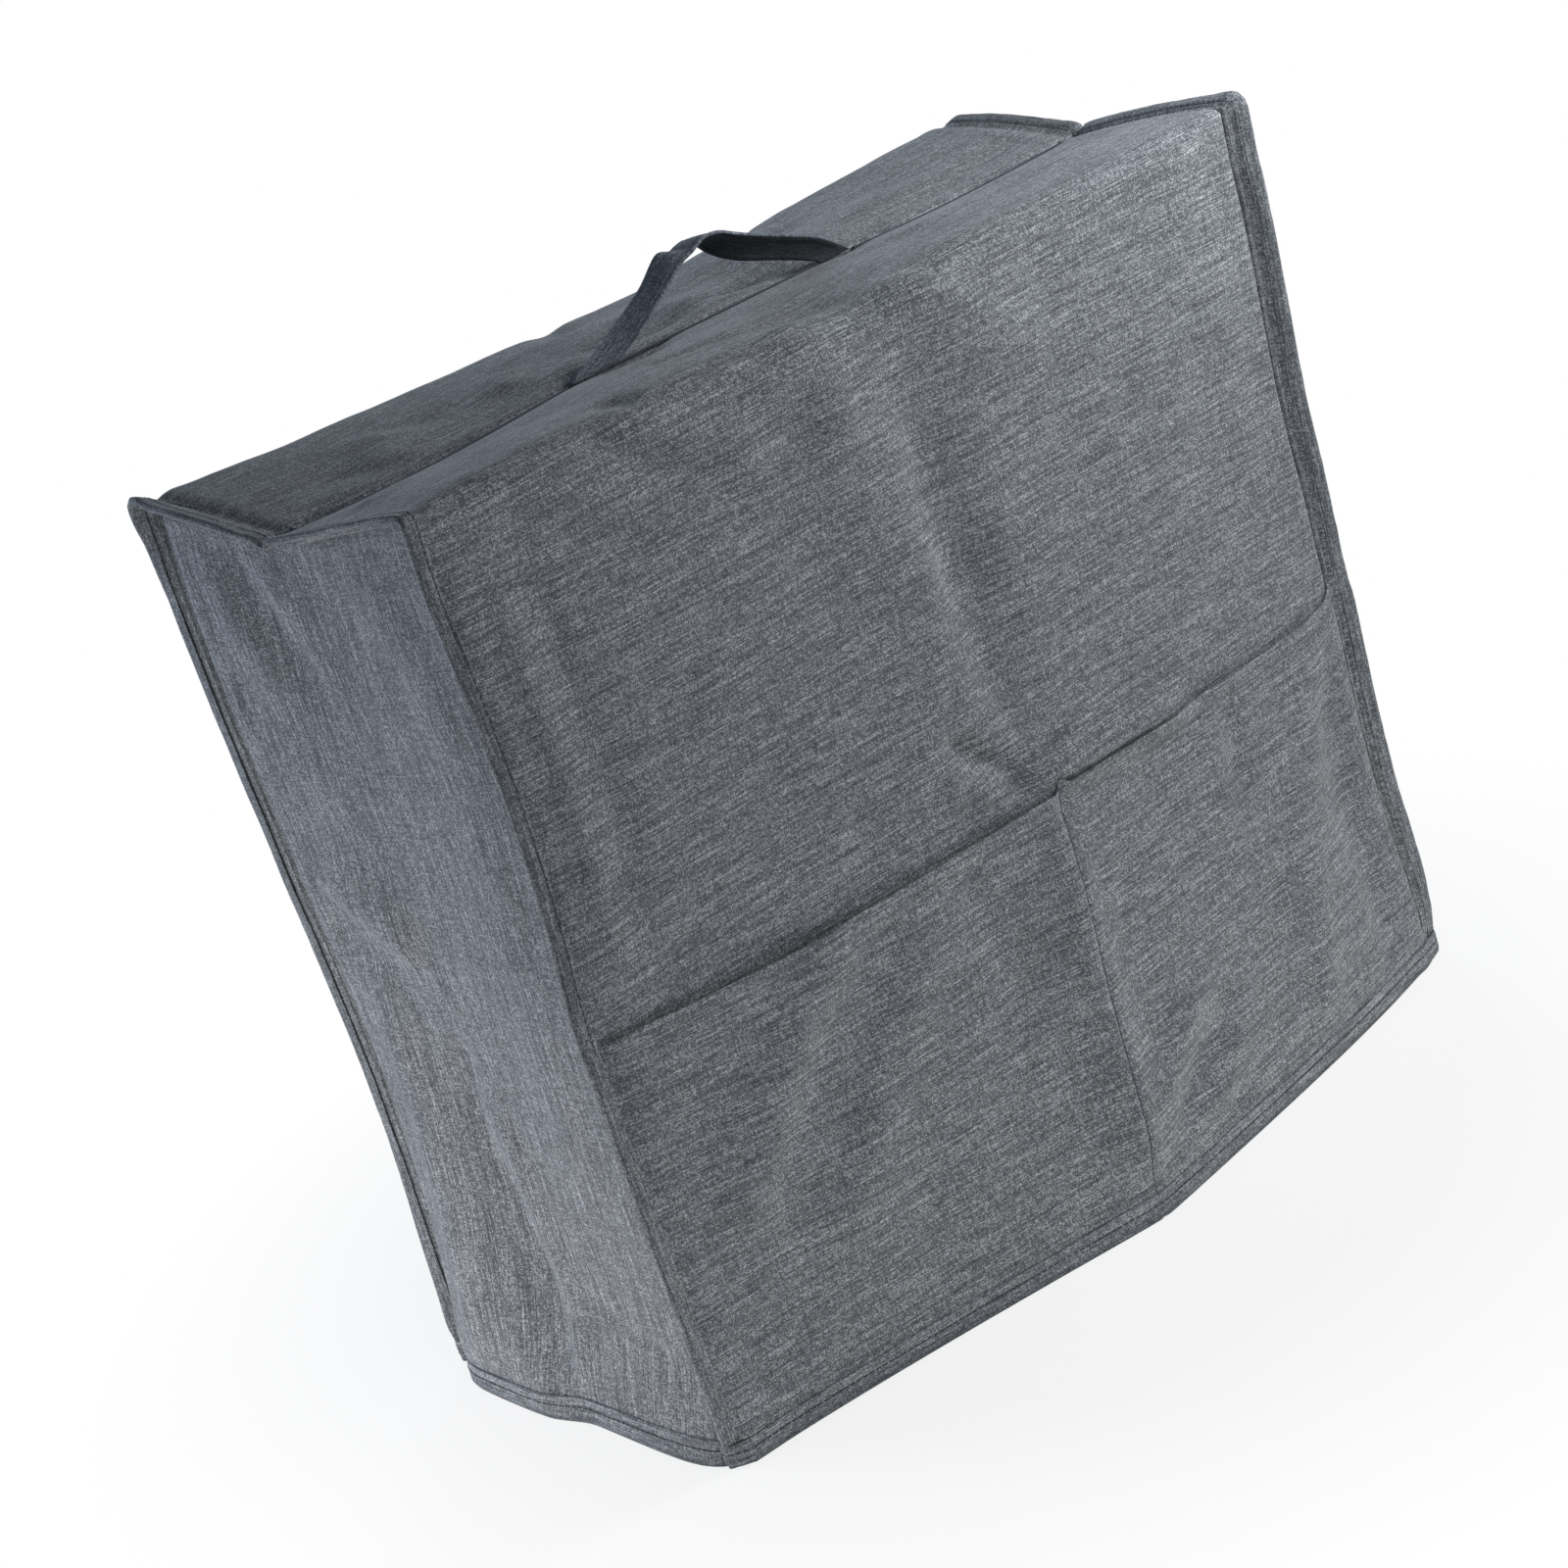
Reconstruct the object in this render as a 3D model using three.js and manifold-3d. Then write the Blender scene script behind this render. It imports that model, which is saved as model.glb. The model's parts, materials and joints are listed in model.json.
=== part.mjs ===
// A slip-over storage cover sewn from melange cloth: closed on top, open underneath, with bound side
// seams that stand out, two open pockets on the front and a twisted carry strap in the top seam.
// Millimetres. +Z is up, the front faces -Y, and the origin is on the floor under the middle of the body.

import * as THREE from 'three';
import { mergeVertices } from 'three/addons/utils/BufferGeometryUtils.js';
import Module from 'manifold-3d';

const wasm = await Module();
wasm.setup();

// ---------------------------------------------------------------- driving dimensions

// The body, over its cloth and without the bound seams.
const BODY_WIDTH = 500;
const BODY_DEPTH = 200;
const BODY_HEIGHT = 450;

// Cloth, tape and the clearance kept between two layers that touch on the sewn object.
const CLOTH = 0.8;
const TAPE = 0.8;
const LAYER_GAP = 0.3;

// The front and back faces swing out towards their lower edge, most of all at mid width.
const FLARE = 45;
const FLARE_POWER = 2.4;
const FLARE_RIDGE_SHARE = 0.7;
const FLARE_ROUND_POWER = 6;

// The soft fold from face to top: rounder at mid width than at the side seams.
const FOLD_RADIUS = 12;
const CORNER_FOLD_RADIUS = 5;

// The top sags to the seam along its middle, and the seam allowances hang inside.
const TOP_SAG = 10;
const SAG_POWER = 2.2;
const SEAM_ALLOWANCE = 12;

// The side seams and the lower edge are bound with folded tape.
const FLANGE_WIDTH = 12;
const HEM_HEIGHT = 12;

// The pocket cloth, stitched down along its divider.
const POCKET_HEIGHT = 204;
const POCKET_GAPE = 12;
const POCKET_ROUND_POWER = 1.4;
const POCKET_DIVIDER_X = 5;

// The carry strap, which stands up from the top seam.
const STRAP_WIDTH = 15;
const STRAP_THICKNESS = 1.6;
const STRAP_ROOT_WIDTH = 20;
const HANDLE_SPAN = 154;
const HANDLE_MIDDLE_X = 1;
const HANDLE_RISE = 33;
const HANDLE_CREST_SOFTNESS = 0.12;
const HANDLE_TWIST_REACH = 0.55;
const HANDLE_AXIS_ABOVE_SEAM = 0.6;
const STRAP_END_DEPTH = 10;

// Mesh fineness. The stations across the width crowd towards the side seams, where the flare is steepest.
const HALF_WIDTH_STEPS = 10;
const STATION_CROWDING = 1.6;
const STATION_SPACING = 0.5;
const FACE_STEPS = 4;
const FOLD_STEPS = 4;
const ROOF_STEPS = 5;
const POCKET_STEPS = 7;
const HANDLE_STEPS = 30;
const BEAD_SIDES = 12;

// ---------------------------------------------------------------- sizes that follow

const HALF_WIDTH = BODY_WIDTH / 2;
const HALF_DEPTH = BODY_DEPTH / 2;
const SEAM_Z = BODY_HEIGHT - TOP_SAG;
const AXIS_Z = SEAM_Z + HANDLE_AXIS_ABOVE_SEAM;

// Each layer of a bound side seam, as its distance outside the panels' outer face (minus is inside).
const POCKET_FACE = LAYER_GAP + CLOTH;
const TAPE_OUTER_FACE = POCKET_FACE + LAYER_GAP + TAPE;
const GUSSET_FACE = -CLOTH - LAYER_GAP;
const TAPE_INNER_FACE = GUSSET_FACE - CLOTH - LAYER_GAP;
const FLANGE_TIP_X = HALF_WIDTH + FLANGE_WIDTH;
const FLANGE_CLOTH_X = FLANGE_TIP_X - TAPE - LAYER_GAP;

// Everything that the hem tape holds stops just above its web.
const EDGE_Z = TAPE + LAYER_GAP;

// The strap's ends and the widening of the seam around them.
const ROOT_CENTRES = [HANDLE_MIDDLE_X - HANDLE_SPAN / 2, HANDLE_MIDDLE_X + HANDLE_SPAN / 2];
const SEAM_HALF_GAP = LAYER_GAP / 2;
const ROOT_HALF_GAP = STRAP_THICKNESS / 2 + LAYER_GAP;
const ROOT_GRIP = STRAP_ROOT_WIDTH / 2 + 1.5;
const ROOT_RAMP = 8;

// ---------------------------------------------------------------- solids

/** A geometry whose shared vertices are merged, as a manifold solid. */
function toSolid(geometry) {
  const bare = geometry.clone();
  bare.deleteAttribute('normal');
  bare.deleteAttribute('uv');
  const merged = mergeVertices(bare, 1e-5);
  return new wasm.Manifold(new wasm.Mesh({
    numProp: 3,
    vertProperties: Float32Array.from(merged.attributes.position.array),
    triVerts: Uint32Array.from(merged.index.array),
  }));
}

function toGeometry(solid) {
  const mesh = solid.getMesh();
  const geometry = new THREE.BufferGeometry();
  geometry.setAttribute('position', new THREE.BufferAttribute(Float32Array.from(mesh.vertProperties), 3));
  geometry.setIndex(new THREE.BufferAttribute(Uint32Array.from(mesh.triVerts), 1));
  geometry.computeVertexNormals();
  return geometry;
}

function join(geometries) {
  const solids = geometries.map(toSolid);
  return toGeometry(solids.reduce((whole, piece) => whole.add(piece)));
}

function cut(geometry, tools) {
  return toGeometry(tools.map(toSolid).reduce((whole, tool) => whole.subtract(tool), toSolid(geometry)));
}

function box(xRange, yRange, zRange) {
  const [width, depth, height] = [xRange, yRange, zRange].map(([low, high]) => high - low);
  const [x, y, z] = [xRange, yRange, zRange].map(([low, high]) => (low + high) / 2);
  return new THREE.BoxGeometry(width, depth, height).translate(x, y, z);
}

/** Turns every triangle round if the closed geometry is inside out. */
function faceOutwards(geometry) {
  const index = geometry.index.array;
  const position = geometry.attributes.position;
  const [a, b, c] = [new THREE.Vector3(), new THREE.Vector3(), new THREE.Vector3()];
  let volume = 0;
  for (let i = 0; i < index.length; i += 3) {
    a.fromBufferAttribute(position, index[i]);
    b.fromBufferAttribute(position, index[i + 1]);
    c.fromBufferAttribute(position, index[i + 2]);
    volume += a.dot(b.cross(c));
  }
  if (volume < 0) {
    for (let i = 0; i < index.length; i += 3) {
      [index[i + 1], index[i + 2]] = [index[i + 2], index[i + 1]];
    }
  }
  geometry.computeVertexNormals();
  return geometry;
}

/** A sheet lofted through sections. Each section is a pair of point rows: the outer face and the inner face. */
function loftSheet(sections) {
  const count = sections[0].outer.length;
  const positions = sections.flatMap(({ outer, inner }) => [...outer, ...inner].flatMap((p) => [p.x, p.y, p.z]));
  const outer = (i, j) => 2 * count * i + j;
  const inner = (i, j) => outer(i, j) + count;
  const index = [];
  const quad = (a, b, c, d) => index.push(a, b, c, a, c, d);
  const last = sections.length - 1;
  for (let i = 0; i < last; i++) {
    for (let j = 0; j < count - 1; j++) {
      quad(outer(i, j), outer(i + 1, j), outer(i + 1, j + 1), outer(i, j + 1));
      quad(inner(i, j), inner(i, j + 1), inner(i + 1, j + 1), inner(i + 1, j));
    }
    quad(outer(i, 0), inner(i, 0), inner(i + 1, 0), outer(i + 1, 0));
    quad(outer(i, count - 1), outer(i + 1, count - 1), inner(i + 1, count - 1), inner(i, count - 1));
  }
  for (let j = 0; j < count - 1; j++) {
    quad(outer(0, j), outer(0, j + 1), inner(0, j + 1), inner(0, j));
    quad(outer(last, j), inner(last, j), inner(last, j + 1), outer(last, j + 1));
  }
  const geometry = new THREE.BufferGeometry();
  geometry.setAttribute('position', new THREE.Float32BufferAttribute(positions, 3));
  geometry.setIndex(index);
  return faceOutwards(geometry);
}

/** An open path of [y, z] points moved sideways: outwards for a positive distance, with mitred corners. */
function offsetPath(path, distance) {
  const normals = path.slice(1).map(([y, z], i) => {
    const [dy, dz] = [y - path[i][0], z - path[i][1]];
    const length = Math.hypot(dy, dz);
    return [-dz / length, dy / length];
  });
  return path.map(([y, z], i) => {
    const before = normals[Math.max(i - 1, 0)];
    const after = normals[Math.min(i, normals.length - 1)];
    const [ny, nz] = [before[0] + after[0], before[1] + after[1]];
    const scale = (2 * distance) / (ny * ny + nz * nz);
    return [y + ny * scale, z + nz * scale];
  });
}

/** A closed outline of [y, z] points, as a solid between two X values. */
function slabAlongX(outline, xFrom, xTo) {
  const shape = new THREE.Shape(outline.map(([y, z]) => new THREE.Vector2(y, z)));
  const geometry = new THREE.ExtrudeGeometry(shape, { depth: xTo - xFrom, bevelEnabled: false, steps: 1 });
  const axes = [new THREE.Vector3(0, 1, 0), new THREE.Vector3(0, 0, 1), new THREE.Vector3(1, 0, 0)];
  geometry.applyMatrix4(new THREE.Matrix4().makeBasis(...axes));
  return geometry.translate(xFrom, 0, 0);
}

/** The band between two offsets of a path, as a solid between two X values. */
function bandAlongX(path, outerOffset, innerOffset, xFrom, xTo) {
  const outline = [...offsetPath(path, outerOffset), ...offsetPath(path, innerOffset).reverse()];
  return slabAlongX(outline, Math.min(xFrom, xTo), Math.max(xFrom, xTo));
}

/** An outline of [x, y] points with a hole in it, as a solid between two heights. */
function ringBetween(outline, hole, zFrom, zTo) {
  const shape = new THREE.Shape(outline.map(([x, y]) => new THREE.Vector2(x, y)));
  shape.holes.push(new THREE.Path(hole.map(([x, y]) => new THREE.Vector2(x, y))));
  const geometry = new THREE.ExtrudeGeometry(shape, { depth: zTo - zFrom, bevelEnabled: false, steps: 1 });
  return geometry.translate(0, 0, zFrom);
}

// ---------------------------------------------------------------- the body's form

const clampUnit = (value) => Math.min(Math.max(value, -1), 1);
const smoothStep = (value) => {
  const t = Math.min(Math.max(value, 0), 1);
  return t * t * (3 - 2 * t);
};

/** How far a face stands outside its plane: a tent with round shoulders, growing down to the upright hem. */
function flare(x, z) {
  const t = Math.abs(clampUnit(x / HALF_WIDTH));
  const across = FLARE_RIDGE_SHARE * (1 - t) + (1 - FLARE_RIDGE_SHARE) * (1 - t ** FLARE_ROUND_POWER);
  const down = Math.max(BODY_HEIGHT - Math.max(z, HEM_HEIGHT), 0) / (BODY_HEIGHT - HEM_HEIGHT);
  return FLARE * across * down ** FLARE_POWER;
}

/** The fold's radius, rounder at mid width. */
function foldRadius(x) {
  const t = Math.abs(clampUnit(x / HALF_WIDTH));
  return CORNER_FOLD_RADIUS + (FOLD_RADIUS - CORNER_FOLD_RADIUS) * (1 - t ** 4);
}

/** Half of the opening in the top seam: closed, but spread around each strap end. */
function seamHalfGap(x) {
  const beyond = Math.min(...ROOT_CENTRES.map((centre) => Math.abs(x - centre))) - ROOT_GRIP;
  return SEAM_HALF_GAP + (ROOT_HALF_GAP - SEAM_HALF_GAP) * (1 - smoothStep(beyond / ROOT_RAMP));
}

/** The heights at which the faces are drawn below the pocket's mouth. */
function pocketHeights() {
  const above = Array.from({ length: POCKET_STEPS + 1 }, (_, i) =>
    HEM_HEIGHT + (POCKET_HEIGHT - HEM_HEIGHT) * (i / POCKET_STEPS));
  return [EDGE_Z, ...above];
}

/** The front face's outer line at one X: up the face, over the fold and down the sagging top to the seam. */
function frontProfile(x, seamGap) {
  const radius = foldRadius(x);
  const roofSpan = HALF_DEPTH - radius;
  const path = pocketHeights().map((z) => [-HALF_DEPTH - flare(x, z), z]);
  for (let i = 1; i < FACE_STEPS; i++) {
    const z = POCKET_HEIGHT + (BODY_HEIGHT - radius - POCKET_HEIGHT) * (i / FACE_STEPS);
    path.push([-HALF_DEPTH - flare(x, z), z]);
  }
  for (let i = 0; i <= FOLD_STEPS; i++) {
    const angle = (Math.PI / 2) * (i / FOLD_STEPS);
    const z = BODY_HEIGHT - radius + radius * Math.sin(angle);
    path.push([-HALF_DEPTH + radius - radius * Math.cos(angle) - flare(x, z), z]);
  }
  for (let i = 1; i <= ROOF_STEPS; i++) {
    const y = -roofSpan + (roofSpan - seamGap) * (i / ROOF_STEPS);
    path.push([y, BODY_HEIGHT - TOP_SAG * (1 + y / roofSpan) ** SAG_POWER]);
  }
  return path;
}

/** The line that both side seams follow: up the front, over the top and down the back. */
function sideSeamPath() {
  const front = frontProfile(HALF_WIDTH, 0);
  const back = front.slice(0, -1).reverse().map(([y, z]) => [-y, z]);
  return [...front, ...back];
}

/** The X values at which every layer of the faces is drawn, as far out as a limit, so that they nest. */
function stationsTo(limit) {
  const halves = Array.from({ length: HALF_WIDTH_STEPS + 1 }, (_, i) =>
    HALF_WIDTH * (1 - (1 - i / HALF_WIDTH_STEPS) ** STATION_CROWDING));
  const ramps = ROOT_CENTRES.flatMap((centre) => [-1, 1].flatMap((side) =>
    [ROOT_GRIP, ROOT_GRIP + ROOT_RAMP].map((reach) => centre + side * reach)));
  const wanted = [...halves, ...halves.map((x) => -x), ...ramps, POCKET_DIVIDER_X];
  const inside = wanted.filter((x) => Math.abs(x) < limit - STATION_SPACING).sort((a, b) => a - b);
  const spaced = inside.filter((x, i) => i === 0 || x - inside[i - 1] > STATION_SPACING);
  return [-limit, ...spaced, limit];
}

const toPoints = (x, path, mirror) => path.map(([y, z]) => new THREE.Vector3(x, mirror * y, z));

// ---------------------------------------------------------------- cloth panels

/** The front (mirror 1) or back (mirror -1) cloth: face, fold, half of the top and its hanging allowance. */
function facePanel(mirror) {
  const sheet = loftSheet(stationsTo(FLANGE_CLOTH_X).map((x) => {
    const gap = seamHalfGap(x);
    const top = frontProfile(x, gap);
    const outer = [...top, [-gap, SEAM_Z - SEAM_ALLOWANCE]];
    return { outer: toPoints(x, outer, mirror), inner: toPoints(x, offsetPath(outer, -CLOTH), mirror) };
  }));
  // The allowances stop inside the side panels, whose turned-out margins cross the seam.
  const reach = ROOT_HALF_GAP + 2 * CLOTH;
  const span = [SEAM_Z - SEAM_ALLOWANCE - 1, SEAM_Z - CLOTH];
  const inside = HALF_WIDTH - CLOTH - LAYER_GAP;
  return cut(sheet, [
    box([-FLANGE_TIP_X, -inside], [-reach, reach], span),
    box([inside, FLANGE_TIP_X], [-reach, reach], span),
  ]);
}

/** A side panel: a flat cloth with its front, top and back margins turned out into the seam. */
function sidePanel(side) {
  const path = sideSeamPath();
  const [innerX, outerX] = [side * (HALF_WIDTH - CLOTH), side * HALF_WIDTH];
  const plate = slabAlongX(offsetPath(path, GUSSET_FACE), Math.min(innerX, outerX), Math.max(innerX, outerX));
  const margin = bandAlongX(path, GUSSET_FACE, GUSSET_FACE - CLOTH, innerX, side * FLANGE_CLOTH_X);
  return join([plate, margin]);
}

/** How far the pocket cloth stands off the front: shut at the divider, the sides and the hem. */
function pocketGape(x, z) {
  const edge = x < POCKET_DIVIDER_X ? -HALF_WIDTH : HALF_WIDTH;
  const across = Math.min(Math.max((x - POCKET_DIVIDER_X) / (edge - POCKET_DIVIDER_X), 0), 1);
  const up = Math.max((z - HEM_HEIGHT) / (POCKET_HEIGHT - HEM_HEIGHT), 0);
  return POCKET_GAPE * Math.sin(Math.PI * across) ** POCKET_ROUND_POWER * up;
}

/** The pocket cloth, over the whole width of the front, stitched down at its divider. */
function pocketPanel() {
  return loftSheet(stationsTo(FLANGE_CLOTH_X).map((x) => {
    const face = (standOff) => pocketHeights().map((z) =>
      new THREE.Vector3(x, -HALF_DEPTH - flare(x, z) - pocketGape(x, z) - standOff, z));
    return { outer: face(POCKET_FACE), inner: face(LAYER_GAP) };
  }));
}

// ---------------------------------------------------------------- bindings

/** The folded tape of one side seam: two legs and the fold between them, along the whole seam. */
function sideBinding(side) {
  const path = sideSeamPath();
  const tip = side * FLANGE_TIP_X;
  return join([
    bandAlongX(path, TAPE_OUTER_FACE, TAPE_OUTER_FACE - TAPE, side * HALF_WIDTH, tip),
    bandAlongX(path, TAPE_INNER_FACE, TAPE_INNER_FACE - TAPE, side * (HALF_WIDTH + LAYER_GAP), tip),
    bandAlongX(path, TAPE_OUTER_FACE, TAPE_INNER_FACE - TAPE, side * (FLANGE_TIP_X - TAPE), tip),
  ]);
}

/** A face's plan line at the lower edge, from left to right, at a distance outside the panel's face. */
function lowerEdgeLine(mirror, standOff, endX) {
  return stationsTo(endX).map((x) => [x, mirror * (-HALF_DEPTH - flare(x, 0) - standOff)]);
}

/** The hem's outer plan outline, drawn in by a distance. It wraps the lower end of each bound side seam. */
function hemOutline(drawnIn) {
  const wrap = LAYER_GAP + TAPE - drawnIn;
  const sideX = HALF_WIDTH + wrap;
  const tipX = FLANGE_TIP_X + wrap;
  const faceX = HALF_WIDTH - wrap;
  const earOuter = HALF_DEPTH + TAPE_OUTER_FACE + wrap;
  const earInner = HALF_DEPTH + TAPE_INNER_FACE - TAPE - wrap;
  const front = lowerEdgeLine(1, POCKET_FACE + wrap, faceX);
  const back = lowerEdgeLine(-1, wrap, faceX).reverse();
  return [
    ...front,
    [faceX, -earOuter], [tipX, -earOuter], [tipX, -earInner], [sideX, -earInner],
    [sideX, earInner], [tipX, earInner], [tipX, earOuter], [faceX, earOuter],
    ...back,
    [-faceX, earOuter], [-tipX, earOuter], [-tipX, earInner], [-sideX, earInner],
    [-sideX, -earInner], [-tipX, -earInner], [-tipX, -earOuter], [-faceX, -earOuter],
  ];
}

/** The hem's inner plan outline, grown towards the cloth by a distance. */
function hemInside(grown) {
  const standOff = -CLOTH - LAYER_GAP - TAPE + grown;
  const endX = HALF_WIDTH + standOff;
  return [...lowerEdgeLine(1, standOff, endX), ...lowerEdgeLine(-1, standOff, endX).reverse()];
}

/** The hem tape: a channel all round the lower edge, with its web on the floor. */
function hemBinding() {
  return join([
    ringBetween(hemOutline(0), hemOutline(TAPE), 0, HEM_HEIGHT),
    ringBetween(hemInside(TAPE), hemInside(0), 0, HEM_HEIGHT),
    ringBetween(hemOutline(0), hemInside(0), 0, TAPE),
  ]);
}

// ---------------------------------------------------------------- carry strap

/** The strap's middle line above its axis, for u from -1 at the left end to 1 at the right end. */
function handleLine(u) {
  const soft = (value) => Math.hypot(value, HANDLE_CREST_SOFTNESS) - HANDLE_CREST_SOFTNESS;
  const z = HANDLE_RISE * (1 - soft(u) / soft(1));
  return new THREE.Vector3(HANDLE_MIDDLE_X + (u * HANDLE_SPAN) / 2, 0, z);
}

/** One cross-section of the strap. Over its crest the strap turns over by half a turn. */
function strapSection(u) {
  const centre = handleLine(u);
  const along = handleLine(u + 0.01).sub(handleLine(u - 0.01)).normalize();
  const depthWays = new THREE.Vector3(0, 1, 0);
  const inwards = new THREE.Vector3().crossVectors(along, depthWays).normalize().negate();
  const turn = (Math.PI / 2) * Math.sin((Math.PI / 2) * clampUnit(u / HANDLE_TWIST_REACH));
  const upright = depthWays.clone().multiplyScalar(Math.cos(turn)).addScaledVector(inwards, Math.sin(turn));
  // Near each end the section swings round to lie along the seam that holds it.
  const seamShare = smoothStep((Math.abs(u) - 0.7) / 0.3);
  const halfWidth = THREE.MathUtils.lerp(STRAP_WIDTH, STRAP_ROOT_WIDTH, seamShare) / 2;
  const acrossStrap = upright.lerp(new THREE.Vector3(-1, 0, 0), seamShare).normalize();
  const thickWays = new THREE.Vector3().crossVectors(along, acrossStrap).normalize();
  const reach = acrossStrap.multiplyScalar(halfWidth);
  const half = thickWays.multiplyScalar(STRAP_THICKNESS / 2);
  const row = (face) => [-1, 1].map((edge) =>
    centre.clone().addScaledVector(reach, edge).addScaledVector(half, face));
  return { outer: row(1), inner: row(-1) };
}

/** The free strap, with a round bead at each end that turns in the seam. */
function handleStrap() {
  const sections = Array.from({ length: HANDLE_STEPS + 1 }, (_, i) => strapSection(-1 + (2 * i) / HANDLE_STEPS));
  const beads = ROOT_CENTRES.map((centre) => {
    const bead = new THREE.CylinderGeometry(
      STRAP_THICKNESS / 2, STRAP_THICKNESS / 2, STRAP_ROOT_WIDTH, BEAD_SIDES);
    return bead.rotateZ(Math.PI / 2).translate(centre, 0, 0);
  });
  return join([loftSheet(sections), ...beads]).translate(0, 0, AXIS_Z);
}

/** A strap end, held between the two seam allowances below the strap's bead. */
function strapEnd(centreX) {
  const top = AXIS_Z - STRAP_THICKNESS / 2 - LAYER_GAP;
  return box(
    [centreX - STRAP_ROOT_WIDTH / 2, centreX + STRAP_ROOT_WIDTH / 2],
    [-STRAP_THICKNESS / 2, STRAP_THICKNESS / 2],
    [top - STRAP_END_DEPTH, top],
  );
}

// ---------------------------------------------------------------- the assembly

const cover = new THREE.Group();

function addPart(name, geometry, color) {
  const material = new THREE.MeshStandardMaterial({ color, roughness: 0.95, metalness: 0 });
  const mesh = new THREE.Mesh(geometry, material);
  mesh.name = name;
  cover.add(mesh);
}

const CLOTH_GREY = 0x6c7075;
const GUSSET_GREY = 0x74777f;
const POCKET_GREY = 0x696c70;
const TAPE_GREY = 0x4f565d;
const STRAP_GREY = 0x33373d;

addPart('front_panel', facePanel(1), CLOTH_GREY);
addPart('back_panel', facePanel(-1), CLOTH_GREY);
addPart('left_side_panel', sidePanel(-1), GUSSET_GREY);
addPart('right_side_panel', sidePanel(1), GUSSET_GREY);
addPart('pocket_panel', pocketPanel(), POCKET_GREY);
addPart('left_seam_binding', sideBinding(-1), TAPE_GREY);
addPart('right_seam_binding', sideBinding(1), TAPE_GREY);
addPart('hem_binding', hemBinding(), TAPE_GREY);
addPart('handle_strap', handleStrap(), STRAP_GREY);
addPart('left_strap_end', strapEnd(ROOT_CENTRES[0]), STRAP_GREY);
addPart('right_strap_end', strapEnd(ROOT_CENTRES[1]), STRAP_GREY);

export default cover;
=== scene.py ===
# A slip-over storage cover sewn from grey melange cloth, open underneath, with bound side seams,
# two open pockets on its front and a carry strap that turns over along its top seam.
import json
import math

import bmesh
import bpy
from mathutils import Matrix, Vector, noise


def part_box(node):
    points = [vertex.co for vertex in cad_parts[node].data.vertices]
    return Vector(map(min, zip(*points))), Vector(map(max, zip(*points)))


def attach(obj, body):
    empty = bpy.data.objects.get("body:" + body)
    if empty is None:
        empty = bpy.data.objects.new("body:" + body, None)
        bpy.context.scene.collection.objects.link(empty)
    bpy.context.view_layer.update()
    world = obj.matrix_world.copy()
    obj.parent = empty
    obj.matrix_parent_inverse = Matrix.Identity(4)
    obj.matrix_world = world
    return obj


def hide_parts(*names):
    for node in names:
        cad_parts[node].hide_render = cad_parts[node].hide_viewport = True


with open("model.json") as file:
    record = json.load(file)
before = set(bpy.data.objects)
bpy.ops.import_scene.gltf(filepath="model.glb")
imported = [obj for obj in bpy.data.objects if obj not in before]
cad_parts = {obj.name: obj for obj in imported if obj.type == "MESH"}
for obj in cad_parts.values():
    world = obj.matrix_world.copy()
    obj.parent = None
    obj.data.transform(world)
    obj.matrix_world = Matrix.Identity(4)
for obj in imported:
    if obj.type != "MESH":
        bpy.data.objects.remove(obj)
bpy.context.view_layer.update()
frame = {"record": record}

# Every form below is worked out in millimetres and turned to metres where a mesh is filled.
MM = 0.001


# ---------------- sizes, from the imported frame

def box_mm(node):
    low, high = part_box(node)
    return Vector(low) / MM, Vector(high) / MM


SEAM_TAPE_HIGH = box_mm("right_seam_binding")[1]
BACK_HIGH = box_mm("back_panel")[1]
HINGE = Vector(frame["record"]["behaviour"]["joints"][0]["pos_m"]) / MM

FLANGE = 12.0            # how far a bound seam stands out
SEAM_LAYERS = 2.2        # what the layers of a bound seam add outside the side panel's corner
HALF_WIDTH = SEAM_TAPE_HIGH.x - FLANGE
HALF_DEPTH = SEAM_TAPE_HIGH.y - SEAM_LAYERS
TOP = BACK_HIGH.z
FLARE = BACK_HIGH.y - HALF_DEPTH
MOUTH = box_mm("pocket_panel")[1].z - 2.0
HEM_BAND = box_mm("hem_binding")[1].z - 1.0
CLOTH = 0.8

FRONT, BACK = -1, 1
LEFT, RIGHT = -1, 1

# The running length up a face, over its fold and across its half of the top, and the hanging allowance.
FOLD_START = TOP - 12.0
SEAM_AT = TOP + HALF_DEPTH - 4.0
ALLOWANCE = 12.0
SHEET_END = SEAM_AT + ALLOWANCE
FLANGE_CLOTH = FLANGE - 1.2
MARGIN = 12.0            # how far a side panel's own cloth reaches into a bound seam
SEAM_ROLL = 2.4          # how deep the two halves of the top roll down into their seam
MOUTH_HEM = 8.2          # how far below the pockets' edge their hem is stitched
STRAP_WIDTH = 15.0
STRAP_ENDS = (-75.25, 78.5)     # where the strap goes into the top seam


# ---------------- small shaping tools

def clamp(value, low=0.0, high=1.0):
    return min(max(value, low), high)


def ease(value):
    t = clamp(value)
    return t * t * (3 - 2 * t)


def mix(a, b, share):
    return a + (b - a) * share


def hump(distance, width):
    return math.exp(-(distance / width) ** 2)


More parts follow.
